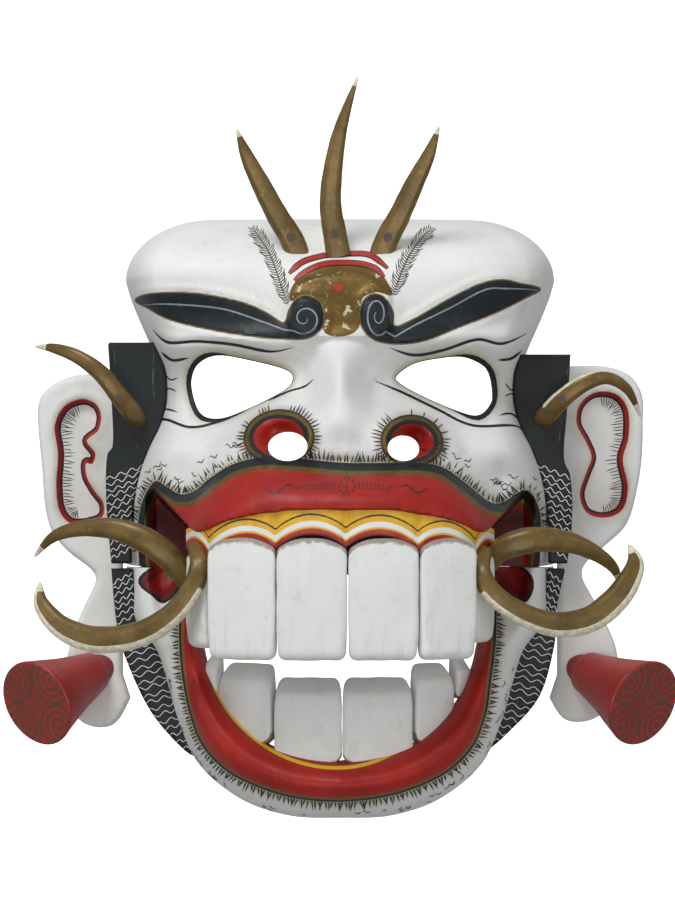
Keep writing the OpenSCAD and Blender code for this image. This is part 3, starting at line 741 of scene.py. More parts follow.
@once
def tusk_gilt():
    p = Paint("tusk_gilt", coat=0.15)
    bare = p.attribute("bare")
    bronze, chip, rough, height = bronze_coat(p, p.attribute("worn"))
    fibres = p.noise(240, 4, 0.6, at=p.stretched(1, 1, 1.6))
    ivory = p.blend(fibres.over(0.52, 0.12), tone("ivory"), tone("ivory_dark"))
    ivory = p.blend(p.noise(520, 4, 0.7).over(0.66, 0.06) * 0.5, ivory, tone("stain_and_shade"))
    show = (bare + (p.noise(420, 3) - 0.5) * 0.16).over(0.5, 0.05)
    colour = p.blend(show, bronze, ivory)
    rough = rough * (1 - show) + (0.28 + fibres * 0.25) * show
    return p.finish(colour, rough, height + fibres * 0.4, 0.3, (1 - show) * (1 - chip) * 0.3, 0.0008)


@once
def ear_paint():
    p = Paint("ear_paint", coat=0.04, specular=0.28)
    colour, rough, height = white_coat(p)
    red, _, _ = red_coat(p)
    pit = p.attribute("pit")
    tint = p.attribute("tint") * (0.3 + p.noise(150, 4, 0.7))
    colour = p.blend((tint * 0.7).least(0.7), colour, tone("ochre"))
    floor_white, _, _ = white_coat(p)
    colour = p.blend(ragged(p, pit + 0.3), colour, red)
    colour = p.blend(ragged(p, pit - 1.9), colour, tone("ink"))
    colour = p.blend(ragged(p, pit - 3.0), colour, floor_white)
    return p.finish(colour, rough, height, 0.22, 0.0, 0.0012)


@once
def plug_paint():
    p = Paint("plug_paint", coat=0.2)
    red, rough, height = red_coat(p)
    u, v = p.attribute("disc_u"), p.attribute("disc_v")
    colour = red
    length = lambda a, b: p.node("Math", {"operation": "SQRT"}, {0: a * a + b * b})
    rings = None
    for k in range(4):
        a = math.radians(45 + 90 * k)
        far = length(u - 0.82 * math.cos(a), v - 0.82 * math.sin(a)) + (p.noise(300, 2) - 0.5) * 0.04
        ring = (far * 38 - 0.4).sine().over(0.05, 0.35) * (0.62 - far).over(0.0, 0.02)
        rings = ring if rings is None else rings.most(ring)
    middle = length(u, v)
    angle = p.node("Math", {"operation": "ARCTAN2"}, {0: v, 1: u})
    dots = (angle * 9).sine().over(0.3, 0.3) * (0.055
            - p.node("Math", {"operation": "ABSOLUTE"}, {0: middle - 0.2})).over(0.0, 0.01)
    marks = rings.most(dots).most((0.08 - middle).over(0.0, 0.01)) * p.attribute("disc")
    colour = p.blend(marks * 0.85, colour, tone("plug_ring"))
    colour = p.blend(p.noise(190, 6, 0.75).over(0.68, 0.05) * 0.45, colour, tone("red_deep"))
    return p.finish(colour, rough, height + p.noise(60, 4) * 0.5, 0.3)


@once
def hair_black():
    p = Paint("hair_black", coat=0.04, specular=0.25)
    scratch = p.noise(240, 5, 0.7, at=p.stretched(1.0, 1.0, 0.12))
    clouds = p.noise(40, 4)
    colour = p.blend(clouds, tone("ink"), tone("ink_warm"))
    colour = p.blend(scratch.over(0.68, 0.04) * 0.3, colour, tone("ink_pale"))
    return p.finish(colour, 0.42 + clouds * 0.2, scratch * 0.7 + clouds * 0.4, 0.3)


@once
def bare_wood():
    p = Paint("bare_wood", specular=0.35)
    grain = p.noise(70, 5, 0.6, 1.2, at=p.stretched(3.0, 3.0, 0.35))
    pores = p.noise(520, 3, 0.6, at=p.stretched(2.5, 2.5, 0.2))
    colour = p.blend(grain.over(0.5, 0.16), tone("wood"), tone("wood_dark"))
    colour = p.blend(pores.over(0.66, 0.05) * 0.5, colour, tone("stain_and_shade"))
    cuts = p.noise(55, 2, 0.4)
    return p.finish(colour, 0.62 + grain * 0.15, grain * 0.5 + cuts * 1.2 - pores * 0.3, 0.4, 0.0, 0.0015)


@once
def iron_pin():
    p = Paint("iron_pin")
    rust, pitting = p.noise(300, 6, 0.7), p.noise(900, 3)
    colour = p.blend(rust.over(0.56, 0.1), tone("iron"), tone("rust"))
    return p.finish(colour, 0.45 + rust * 0.35, pitting + rust, 0.4, (1 - rust.over(0.56, 0.1)) * 0.8,
                    0.0005)


@once
def leather_washer():
    p = Paint("leather_washer", specular=0.3)
    grain, wear = p.noise(900, 4, 0.6), p.noise(140, 4)
    colour = p.blend(wear.over(0.5, 0.2), tone("leather"), tone("stain_and_shade"))
    return p.finish(colour, 0.6 + wear * 0.2, grain, 0.5, 0.0, 0.0004)


def line_paint(name, colour, pale, amount):
    """The thin paint of a brush stroke, worn along its length."""
    p = Paint(name, coat=0.05)
    worn = p.noise(260, 4, 0.65).over(0.6, 0.1) * amount
    return p.finish(p.blend(worn, tone(colour), tone(pale)), 0.45 + p.noise(90, 3) * 0.15, p.noise(500, 3),
                    0.15, 0.0, 0.0004)


@once
def inks():
    return [line_paint("line_" + a, a, b, c) for a, b,
            c in (("ink", "ink_pale", 0.1), ("ink_pale", "white", 0.2), ("white", "dust", 0.3),
                                                           ("red", "red_deep", 0.5),
                                                                   ("bronze", "cream", 0.25),
                  ("yellow", "dust", 0.3))]


INK, GREY, WHITE, RED, GOLD = range(3, 8)  # the inks' places among a painted piece's materials


def coats(front, rim):
    return [front, bare_wood(), rim] + inks()


# ---- Sizes and colours that a user may change ----
def colour_setting(name, description, default):
    return FloatVectorProperty(name=name, description=description, subtype="COLOR", size=3, min=0, max=1,
                               default=default)


class MaskColours(bpy.types.PropertyGroup):
    """The paints of the mask."""

    white: colour_setting("White", "Matt white of the face and teeth", (0.80, 0.81, 0.79))
    white_shade: colour_setting("Shaded white", "Cooler patches in the white", (0.72, 0.74, 0.73))
    dust: colour_setting("Dust", "Grime on the white paint", (0.46, 0.44, 0.38))
    ink: colour_setting("Black", "Blue-black of the brows and lines", (0.012, 0.018, 0.022))
    ink_warm: colour_setting("Warm black", "Browner patches in the black boards", (0.02, 0.021, 0.02))
    ink_pale: colour_setting("Grey line", "Thin grey lines on the black", (0.22, 0.26, 0.30))
    bronze: colour_setting("Bronze", "Bronze paint of the tusks and forehead", (0.19, 0.115, 0.022))
    bronze_dark: colour_setting("Dark bronze", "Hollows in the bronze", (0.11, 0.066, 0.013))
    bronze_light: colour_setting("Rubbed bronze", "Rubbed places in the bronze", (0.26, 0.18, 0.06))
    cream: colour_setting("Cream", "Primer where the bronze has chipped", (0.60, 0.56, 0.40))
    red: colour_setting("Red", "Red of the lips and plugs", (0.40, 0.018, 0.010))
    red_light: colour_setting("Light red", "Thin streaks in the red", (0.45, 0.03, 0.022))
    red_dark: colour_setting("Dark red", "Second coat of the red", (0.29, 0.010, 0.008))
    # Also used as painted shade in the mouth corners and deep in the nostrils.
    red_deep: colour_setting("Deep red", "Red in the corners of the mouth", (0.10, 0.003, 0.004))
    yellow: colour_setting("Yellow", "Yellow of the gum", (0.80, 0.47, 0.012))
    yellow_deep: colour_setting("Deep yellow", "Patches in the yellow", (0.66, 0.33, 0.008))
    ochre: colour_setting("Ochre", "Tint around lips, eyes and nostrils", (0.38, 0.29, 0.13))
    ivory: colour_setting("Ivory", "Bare tusk", (0.76, 0.73, 0.60))
    ivory_dark: colour_setting("Old ivory", "Darker fibres of the tusk", (0.58, 0.53, 0.37))
    # Brown of real stains, also used as painted shade at the roots of the teeth.
    stain_and_shade: colour_setting("Stain", "Brown stains", (0.13, 0.085, 0.04))
    plug_ring: colour_setting("Plug rings", "Rings on the ends of the plugs", (0.065, 0.05, 0.022))
    wood: colour_setting("Wood", "Bare wood behind the mask", (0.42, 0.27, 0.13))
    wood_dark: colour_setting("Dark wood", "Late wood in the grain", (0.27, 0.155, 0.065))
    iron: colour_setting("Iron", "Nails and hinge pins", (0.11, 0.10, 0.09))
    rust: colour_setting("Rust", "Rust on the iron", (0.10, 0.042, 0.018))
    leather: colour_setting("Leather", "Hinge washers", (0.20, 0.09, 0.035))
    stage: colour_setting("Stage", "Pale floor and backdrop", (0.95, 0.95, 0.95))


class MaskSizes(bpy.types.PropertyGroup):
    """The fineness of the carving and of the painting."""

    face_columns: IntProperty(name="Face columns", description="Columns of the face's skin", default=236,
                              min=80, max=260)
    face_rows: IntProperty(name="Face rows", description="Rows of the face's skin", default=164, min=60,
                           max=180)
    jaw_stations: IntProperty(name="Jaw stations", description="Steps around the jaw", default=260, min=80,
                              max=400)
    tick_length: FloatProperty(name="Tick length",
                               description="Length of the black hairs around the lips, in metres",
                               default=0.0062, min=0.001, max=0.01, unit="LENGTH", subtype="DISTANCE")
    lens: FloatProperty(name="Lens", description="Focal length of the camera in millimetres", default=120,
                        min=50, max=200)
    camera_distance: FloatProperty(name="Camera distance", description="From the rear rim to the camera",
                                   default=1.8, min=1, max=4,
                                   unit="LENGTH", subtype="DISTANCE")


def sizes():
    return bpy.context.scene.mask_sizes


class MASK_OT_stage(bpy.types.Operator):
    """Places the camera, the pale floor and backdrop, and the soft lights"""

    bl_idname = "mask.stage"
    bl_label = "Stage"

    def execute(self, context):
        scene = context.scene
        camera = bpy.data.objects.new("camera", bpy.data.cameras.new("camera"))
        camera.data.lens = sizes().lens
        camera.data.clip_end = 20
        camera.location = (-0.0015, RIM * MM - sizes().camera_distance, (68 - CROWN) * MM)
        camera.rotation_euler = (math.radians(90), 0, 0)
        scene.collection.objects.link(camera)
        scene.camera = camera
        scene.view_settings.view_transform = "Standard"
        p = Paint("stage_paper", specular=0.1)
        soft = p.noise(3, 2)
        paper = p.finish(p.blend(soft * 0.04, tone("stage"), tone("white_shade")), 0.9 + soft * 0.05)
        p.shader.inputs["Emission Color"].default_value = (1, 1, 1, 1)
        p.shader.inputs["Emission Strength"].default_value = 1.0
        bm = bmesh.new()
        bmesh.ops.create_grid(bm, x_segments=1, y_segments=1, size=2.6)
        back = [e for e in bm.edges if all(v.co.y > 0 for v in e.verts)]
        bmesh.ops.translate(bm, verts=bm.verts, vec=(0, -0.6, -0.62))
        bmesh.ops.spin(bm, geom=back, cent=(0, 2.0, -0.02), axis=(1, 0, 0), dvec=(0, 0, 0),
                       angle=math.pi / 2, steps=16,
                       use_duplicate=False)
        top = [e for e in bm.edges if e.is_boundary
               and all(abs(v.co.z - max(w.co.z for w in bm.verts)) < 1e-4 for v in e.verts)]
        raised = bmesh.ops.extrude_edge_only(bm, edges=top)["geom"]
        bmesh.ops.translate(bm, verts=[v for v in raised if isinstance(v, bmesh.types.BMVert)],
                            vec=(0, 0, 3))
        bmesh.ops.recalc_face_normals(bm, faces=bm.faces)
        mesh = bpy.data.meshes.new("floor")
        bm.to_mesh(mesh)
        bm.free()
        mesh.materials.append(paper)
        mesh.shade_smooth()
        floor = bpy.data.objects.new("floor", mesh)
        scene.collection.objects.link(floor)
        floor.visible_diffuse = False
        floor.visible_glossy = False
        for name, place, size, watts, aim in (("key", (-0.5, -1.1, 1.3), 0.7, 19, (0, 0, -0.2)),
                                              ("fill", (1.6, -1.3, 0.2), 1.4, 5, (0, 0, -0.2)),
                                              ("side", (-1.7, -1.0, 0.1), 1.3, 5, (0, 0, -0.2)),
                                                      ("low", (0, -1.9, -0.8), 1.2, 15, (0, 0, -0.27)),
                                              ("rim", (0, 1.0, 1.4), 1.4, 4, (0, 0, -0.1))):
            light = bpy.data.objects.new(name, bpy.data.lights.new(name, "AREA"))
            light.data.size = size
            light.data.energy = watts
            light.location = place
            light.rotation_euler = (Vector(aim) - Vector(place)).to_track_quat("-Z", "Y").to_euler()
            scene.collection.objects.link(light)
        world = bpy.data.worlds.new("studio")
        world.use_nodes = True
        world.node_tree.nodes["Background"].inputs["Color"].default_value = (1, 1, 1, 1)
        world.node_tree.nodes["Background"].inputs["Strength"].default_value = 0.32
        scene.world = world
        return {"FINISHED"}


class MASK_OT_face(bpy.types.Operator):
    """Carves and paints the face with its brows, eyes, nostrils and upper lip"""

    bl_idname = "mask.face"
    bl_label = "Face"

    def execute(self, context):
        n, m = sizes().face_columns, sizes().face_rows
        u = np.linspace(-1, 1, n + 1)
        low = int(0.74 * m)
        rows = np.concatenate([np.linspace(0, 165, low + 1), 165
                               + (CROWN - 165) * np.sin(np.linspace(0, math.pi / 2, m - low + 1))[1:]])
        bm, i, j = flat_sheet(u, rows)
        shares = 0.72 * u + 0.28 * np.sin(math.pi / 2 * u)
        z = rows[j]
        put(bm, np.stack([half_width(z) * shares[i], z, 0 * z], 1))
        for side in SIDES:
            trim(bm, spline(EYES[side], 6, True), keep_inside=False)
            hole = NOSTRILS[side][1]
            a = np.linspace(0, 2 * math.pi, 48, endpoint=False)
            trim(bm, np.stack([hole[0] + hole[2] * np.cos(a), hole[1] + hole[3] * np.sin(a)], 1),
                 keep_inside=False)
        c, behind = thicken(bm)
        x, z = c[:, 0], c[:, 1]
        w = half_width(z)
        out = metres(x, face_outside(x, z), z)
        xi, zi = x - np.sign(x) * 8 * np.abs(x / w) ** 6, z - 8 * (z / CROWN) ** 6
        for side in SIDES:
            for outline in (EYES[side], None):
                hole = NOSTRILS[side][1]
                gap = (-away(x, z, spline(EYES[side], 3, True)) if outline
                       else (share(x, z, hole) - 1) * hole[2])
                middle = np.mean(EYES[side], axis=0) if outline else np.array(hole[:2])
                push = np.stack([x, z], 1) - middle
                push *= (3.5 * np.exp(-((gap / 9) ** 2)) / np.maximum(1, np.linalg.norm(push, axis=1)))[:,
                        None]
                xi, zi = xi + push[:, 0], zi + push[:, 1]
        inner = metres(xi, np.minimum(face_inside(xi, zi) * edge_round(x, z),
                                      np.maximum(0, face_outside(x, z) - 0.8)), zi)
        layers(bm, behind)
        bm.verts.index_update()
        put(bm, np.where(behind[:, None], inner, out))
        bmesh.ops.recalc_face_normals(bm, faces=bm.faces)
        marks = {k: np.zeros(len(x)) for k in ("tint", "worn")}
        marks["lip"] = away(x, z, spline(UPPER_LIP[1:-1], 4, False).tolist() + [(116, -30), (-116, -30)])
        # The mouth corners' hollows, where the face paint darkens the red as painted shade.
        marks["recess"] = np.maximum(away(x, z, RECESSES["left"]), away(x, z, RECESSES["right"]))
        marks["brow"] = np.maximum(*(away(x, z, spline(BROWS[s], 4, True)) for s in SIDES))
        marks["panel"] = away(x, z, spline(PANEL, 3, True))
        marks["worn"] = 0.85 * ease((marks["panel"] + 2) / 3)
        marks["nose"] = np.full(len(x), UNPAINTED)
        marks["lids"] = np.full(len(x), UNPAINTED)
        for side in SIDES:
            ring = NOSTRILS[side][0]
            marks["nose"] = np.maximum(marks["nose"], (1 - share(x, z, ring)) * 0.5 * (ring[2] + ring[3]))
            eye = -away(x, z, spline(EYES[side], 4, True))
            outer = ease((np.abs(x) - 60) / 22)
            marks["lids"] = np.maximum(marks["lids"], 0.5 + 2.6 * outer - eye)
            marks["tint"] += 0.8 * np.exp(-((np.maximum(eye - 2.5 * outer, 0) / 2.6) ** 2)) + 0.45 * ease(1
                    - eye / 14) * ease((z - 104) / 10)
        near = np.maximum(-marks["lip"], 0)
        marks["tint"] += 0.85 * np.exp(-((near / 3.4) ** 2)) + 0.25 * ease(1
                - near / 12) + 0.7 * ease((marks["nose"] + 7.5) / 4)
        marks = {k: np.where(behind, UNPAINTED if k in ("lip", "recess", "brow", "panel", "nose", "lids")
                             else 0.0, v) for k, v in marks.items()}
        self.paint_lines(bm)
        settle(bm, "face_skin", coats(face_paint(), line_paint("hole_edge", "ink", "stain_and_shade", 0.8)), "face",
               ["face_shell"], marks)
        return {"FINISHED"}

    def paint_lines(self, bm):
        brush = Brush(bm)
        hair = sizes().tick_length / MM
        for line, width, _ in CREASES:
            brush.stroke(spline(line, 6), width, INK)
        for side in SIDES:
            line = np.vstack([spline(BROW_LINES[side], 6), curl(*CURLS[side])])
            brush.stroke(line, 0.95, GREY, (0.3, 0.5), step=0.9)
            outline = spline(BROWS[side], 5, True)
            brush.stroke(np.vstack([outline, outline[:1]]), 0.8, GOLD, (1, 1))
            sign = -1 if side == "left" else 1
            eye = spline(EYES[side], 5, True)
            brush.stroke(np.vstack([eye, eye[:1]]), 0.5, GOLD, (1, 1), step=1.5)
            ring = NOSTRILS[side][0]
            a = np.radians(np.linspace(-35, 215, 70) if sign < 0 else np.linspace(-35, 215, 64))
            rim = np.stack([ring[0] + (ring[2] + 2.4) * np.cos(a), ring[1] + (ring[3] + 2.4) * np.sin(a)],
                           1)
            brush.stroke(rim, 0.9, INK, (0.4, 0.4))
            brush.ticks(rim, 1.7, hair * 0.9, 0.7, INK, -1, 0.15)
        # Hairs all along the upper lip and down beside the corners of the mouth.
        lip = spline(UPPER_LIP[1:-1], 6)
        brush.ticks(lip, 1.9, hair, 0.85, INK, 1, 0.35)
        for k in range(46):
            q = lip[rng.randrange(len(lip))]
            away_from = 1 if q[0] > 0 else -1
            x, z = q[0] + away_from * rng.uniform(1, 4), q[1] + rng.uniform(7, 13)
            if abs(x) > 40 and away(np.array([x]), np.array([z]), lip.tolist()
                                    + [(116, -30), (-116, -30)])[0] < -5:
                brush.squiggle(x, z, rng.uniform(3.5, 7), 0.5, INK, rng.uniform(-35, 35))
        # The two bands over the bronze panel.
        out, inn = spline(BAND_OUT, 6), spline(BAND_IN, 6)
        for line, width in ((out, 2.7), (inn, 2.6)):
            brush.lift = 0.12 * MM
            brush.stroke(line, width + 1.1, INK, (0.5, 0.5))
            brush.lift = 0.26 * MM
            brush.stroke(line, width, RED, (0.4, 0.4))
        brush.lift = 0.3 * MM
        brush.blot(-1.2, 159.6, 3.0, RED, 2.1)
        brush.lift = 0.16 * MM
        # Feathers: a dark spine with fine hairs on both sides.
        for spine in ([(-51, 197), (-45, 188), (-39, 177), (-30, 151)],
                      [(53, 197), (44, 186), (37, 174), (30, 156)]):
            line = spline(spine, 8)
            brush.stroke(line, 0.9, GOLD, (0.2, 0.2))
            for way in (-1, 1):
                brush.feather(line, 1.5, 6.5, 0.55, INK, way)
        # A dotted flower with a wavy line and a row of dots on each side, in the middle of the lip.
        cx, cz = 3.5, 48.5
        for k in range(10):
            a = math.radians(36 * k)
            brush.blot(cx + 4.2 * math.cos(a), cz + 4.4 * math.sin(a), 0.55, INK)
        for k in range(7):
            brush.blot(cx, cz - 8 + 2.6 * k, 0.5, INK)
        for way in (-1, 1):
            for row, count in ((0.9, 10), (-0.9, 8)):
                for k in range(count):
                    brush.blot(cx + way * (6.5 + 2.2 * k), cz + row - 0.02 * k * k, 0.5, INK)
            t = np.linspace(0, 1, 15)
            brush.stroke(np.stack([cx + way * (29 + 15 * t), cz - 0.5 + 1.6 * np.sin(t * 7.5) - 2.5 * t],
                                  1), 0.75, INK)


def jaw_at(line, s):
    """A place on one of the jaw's open edge lines, by station."""
    p = np.array(line, float)
    i = np.clip(np.floor(s).astype(int), 0, 8)
    f = (s - i)[:, None]
    a, b, c, d = (p[np.clip(i + k, 0, 9)] for k in (-1, 0, 1, 2))
    return 0.5 * (2 * b + (c - a) * f + (2 * a - 5 * b + 4 * c - d) * f**2 + (3 * b - a - 3 * c + d) * f**3)


JAW_MOUTH = [(88, 0), (86.5, -12), (83, -26), (78, -42), (74, -55), (66, -72), (54, -86), (38, -97),
             (18, -103), (0, -105)]
JAW_OUTER = [(128, 0), (126, -16), (121, -32), (106, -48), (99, -66), (92, -88), (80, -112), (56, -131),
             (28, -140), (0, -141)]
JAW_LIP = [(0, 46), (1, 56), (2, 76), (3, 103), (4, 120), (5, 130), (6, 138), (7, 144), (8, 148), (9, 150)]
END_PROFILE = [(0, 1), (0.45, 1), (0.6, 1.13), (0.75, 1.02), (0.85, 0.8), (0.94, 0.5), (1, 0.1)]
LIP_PROFILE = [(0, 0.92), (0.15, 0.98), (0.3, 1), (0.5, 0.97), (0.68, 0.9), (0.84, 0.83), (0.94, 0.74),
               (1, 0.64)]
HINGE = (12, -9)  # distance in front of the rear rim, and height
LOWER_LIP = [(-94, 20), (-93, -14), (-92, -37), (-89, -60), (-85, -79), (-78, -97), (-64, -111),
             (-47, -119), (-26, -125), (0, -127),
             (26, -124), (46, -118), (62, -110), (75, -97), (82, -79), (85, -60), (89, -37), (91, -14),
             (92, 20)]
LOWER_SEAM = [(-77, -40), (-74, -53), (-70, -66), (-61, -80), (-47, -93), (-31, -102), (-12, -107),
              (8, -107), (26, -102), (43, -93),
              (56, -82), (65, -69), (69, -53), (71, -40)]
PATCHES = {"left": [(-116, -9), (-111, -3), (-99, 3), (-93, -3), (-94, -11), (-102, -19), (-108, -15)],
           "right": [(90, -1), (100, 2), (110, -6), (110, -14), (105, -19), (98, -14), (91, -9)]}


class MASK_OT_jaw(bpy.types.Operator):
    """Carves and paints the hinged lower jaw with its red lip"""

    bl_idname = "mask.jaw"
    bl_label = "Jaw"

    def execute(self, context):
        half = sizes().jaw_stations // 2
        v_out, v_in = np.linspace(0, 1, 46), np.linspace(1, 0, 18)
        kinds = [("out", v) for v in v_out] + [("side", t)
                for t in (0.25, 0.5, 0.75, 1.0)] + [("rear", 0.5), ("rear", 1.0)]
        kinds += [("in", v) for v in v_in] + [("front", 0.4), ("front", 0.8), ("out", 0.0)]
        k = np.arange(-half, half + 1)
        bm, i, j = flat_sheet(k, np.arange(len(kinds)))
        s = 9 * (1 - np.abs(k[i]) / half)
        way = np.where(k[i] < 0, -1, 1)
        a, b = jaw_at(JAW_MOUTH, s), jaw_at(JAW_OUTER, s)
        a[s == 0, 1], b[s == 0, 1] = PARTING, PARTING
        span = np.linalg.norm(b - a, axis=1)
        w = JAW_WALL / span
        blend = ease(s / 3.5)
        rear = 0.36 * np.maximum(0, -b[:, 1] - 3)

        def outer(v):
            h = curve(JAW_LIP, s) * mix(curve(END_PROFILE, v), curve(LIP_PROFILE, v), blend)
            x, z = way * (a[:, 0] + (b - a)[:, 0] * v), a[:, 1] + (b - a)[:, 1] * v
            lip = away(x, z, spline(LOWER_LIP, 2).tolist())
            h = h - 3.2 * (1 - quarter(v * span / 4)) - 1.5 * np.exp(-(((lip
                    + 0.5) / 2.0) ** 2)) + 1.5 * np.exp(-(((lip - 8) / 7) ** 2))
            h = h - 2.5 * ease(np.maximum(away(x, z, PATCHES["left"]), away(x, z, PATCHES["right"])) / 4)
            return np.maximum(rear + 1.5, h + 0.3 * wobble(x, z, h, 26, 3.0)
                              + 0.12 * wobble(x, z, h, 8, 6.0))

        label = np.array([q[0] for q in kinds])[j]
        t = np.array([q[1] for q in kinds])[j]
        v = np.select([label == "out", label == "side", label == "rear", label == "in"],
                      [t, 1 + 0 * t, 1 - w * t, t * (1 - w)], 0 * t)
        top = outer(np.where(label == "in", t, np.where(label == "out", t,
                                                        np.where(label == "front", 0, 1))))
        inner = np.maximum(rear + 4, curve(JAW_LIP, s) * mix(curve(END_PROFILE, t), curve(LIP_PROFILE, t),
                                                             blend) - CARVED_WALL)
        inner0 = np.maximum(rear + 4, curve(JAW_LIP, s) * mix(1.0, 0.92, blend) - CARVED_WALL)
        depth = np.select([label == "out", label == "side", label == "rear", label == "in"],
                          [top, mix(top, rear, t), rear, inner], mix(inner0, top, t))
        x, z = way * (a[:, 0] + (b - a)[:, 0] * v), a[:, 1] + (b - a)[:, 1] * v
        # The corner behind the hinge is rounded about its axis, so that the jaw can swing.
        back, up = depth - HINGE[0], z - HINGE[1]
        fit = np.where((back < 0) & (up > 0), np.minimum(1, 7.4 / np.maximum(1e-6, np.hypot(back, up))), 1)
        depth, z = HINGE[0] + back * fit, HINGE[1] + up * fit
        put(bm, metres(x, depth, z))
        front = (label == "out") | (label == "side") & (t < 0.8)
        for f in bm.faces:
            n = sum(front[q.index] for q in f.verts)
            f.material_index = 0 if n >= 2 else 1
        marks = {"lip": away(x, z, spline(LOWER_LIP, 4).tolist()),
                 "seam": away(x, z, spline(LOWER_SEAM, 4), closed=False),
                 "patch": np.maximum(*(away(x, z, spline(PATCHES[q], 3, True)) for q in SIDES))}
        marks["tint"] = 0.85 * np.exp(-((np.maximum(-marks["lip"], 0) / 3.2) ** 2)) + 0.2 * ease(1
                + marks["lip"] / 10)
        carry(bm, marks)
        seal(bm)
        self.paint_lines(bm)
        settle(bm, "jaw_skin", coats(jaw_paint(), jaw_paint()), "jaw", ["jaw_shell"])
        return {"FINISHED"}

    def paint_lines(self, bm):
        brush = Brush(bm)
        hair = sizes().tick_length / MM
        lip = spline(LOWER_LIP[1:-1], 6)
        brush.ticks(lip, 1.9, hair * 0.95, 0.85, INK, -1, 0.3)
        for k in range(60):
            q = lip[int(len(lip) * rng.uniform(0.12, 0.88))]
            out = np.array([q[0], q[1] + 55])
            out = out / np.linalg.norm(out)
            q = q + out * rng.uniform(8, 13)
            brush.squiggle(q[0], q[1], rng.uniform(2.5, 5), 0.5, INK,
                           math.degrees(math.atan2(out[1], out[0])) + rng.uniform(60, 120))
        for side in SIDES:
            patch = spline(PATCHES[side], 4, True)
            brush.ticks([p for p in patch if p[1] < -4], 2.2, 4.5, 0.6, INK, -1, 0.25)


# ---- Teeth and gum ----
CUSPS = [(-90, 6), (-72, 8), (-35, 13), (3, 14), (42, 12), (74, 7), (90, 5)]


def scallop(x):
    """The gum's lower edge: an arch over each tooth between its low points."""
    p = np.array(CUSPS, float)
    i = np.clip(np.searchsorted(p[:, 0], x, side="right") - 1, 0, len(p) - 2)
    t = (x - p[i, 0]) / (p[i + 1, 0] - p[i, 0])
    return mix(p[i, 1], p[i + 1, 1], t) + 8.2 * np.sin(math.pi * clamp(t)) ** 0.75


class MASK_OT_gum(bpy.types.Operator):
    """Makes the painted band above the upper teeth"""

    bl_idname = "mask.gum"
    bl_label = "Gum"

    def execute(self, context):
        xs = 86 * np.sin(np.linspace(-math.pi / 2, math.pi / 2, 221))
        bm, i, j = flat_sheet(xs, np.linspace(0, 1, 45))
        c, behind = thicken(bm)
        x, t = c[:, 0], c[:, 1]
        low, top = scallop(x), curve([(0, 39), (27, 38.5), (58, 33.5), (86, 24)], np.abs(x))
        z = mix(low, top, t)
        front = curve(LIP_FRONT, np.abs(x)) - 4 + 1.8 * quarter(t / 0.3) + 0.6 * wobble(x, z, 0 * x, 19,
                                                                                        5.0)
        cusp = np.min([np.abs(x - q[0]) for q in CUSPS], axis=0)
        front = front - 1.2 * np.exp(-((cusp / 2.2) ** 2))
        back = curve(LIP_FRONT, np.abs(x)) - 15.5
        x = np.where(behind, 0.95 * x, x)
        layers(bm, behind)
        put(bm, metres(x, np.where(behind, back, front), z))
        bmesh.ops.recalc_face_normals(bm, faces=bm.faces)
        level = np.where(behind, 0.0, z - low)
        settle(bm, "gum_skin", coats(gum_paint(), line_paint("gum_edge", "ink", "stain_and_shade", 0.5)), "face",
               ["upper_gum"], {"level": level})
        return {"FINISHED"}


def tooth_form(width, height, thick, corner, rise, cuts=19):
    """A carved tooth that stands on z = 0 with its front on y = 0: rounded free end, arched root and tapered back."""
    bm = bmesh.new()
    bmesh.ops.create_cube(bm, size=2)
    bmesh.ops.subdivide_edges(bm, edges=bm.edges[:], cuts=cuts, use_grid_fill=True)
    c = np.sin(math.pi / 2 * coords(bm))
    half = np.array([width, thick, height]) / 2
    p = c * half
    radius = np.minimum(mix(2.2, corner, ease((c[:, 2] - 0.35) / 0.6)), half.min() - 0.2)[:, None]
    core = clamp(p, -(half - radius), half - radius)
    d = p - core
    far = np.maximum(1e-9, np.linalg.norm(d, axis=1))[:, None]
    p = np.where(far > 1e-6, core + d / far * radius, p)
    p[:, 1] += thick / 2
    p[:, 2] += height / 2
    side, up = p[:, 0] / (width / 2), p[:, 2] / height
    p[:, 0] *= (width / 2 - 0.24 * clamp(p[:, 1], 0, thick)) / (width / 2)
    p[:, 1] -= 1.6 * (1 - side**2) * np.sin(math.pi * clamp(0.08 + 0.86 * up)) * ease(1 - p[:, 1] / thick)
    p[:, 2] += rise * np.abs(side) ** 2.4 * (1 - up) ** 1.5
    return bm, p, side, up


def place_tooth(p, x, depth, z, angle, hangs):
    a = math.radians(angle)
    z = z - p[:, 2] if hangs else z + p[:, 2]
    return metres(x + p[:, 0] * math.cos(a) - p[:, 1] * math.sin(a), depth - p[:, 0] * math.sin(a)
                  - p[:, 1] * math.cos(a), z)


def lean(line, x):
    rise = float(curve(line, abs(x) + 8) - curve(line, abs(x) - 8))
    return math.degrees(math.atan2(rise, 16)) * (-1 if x > 0 else 1)


LOW_LINE = [(0, 136), (30, 133), (52, 126), (66, 116), (76, 104)]


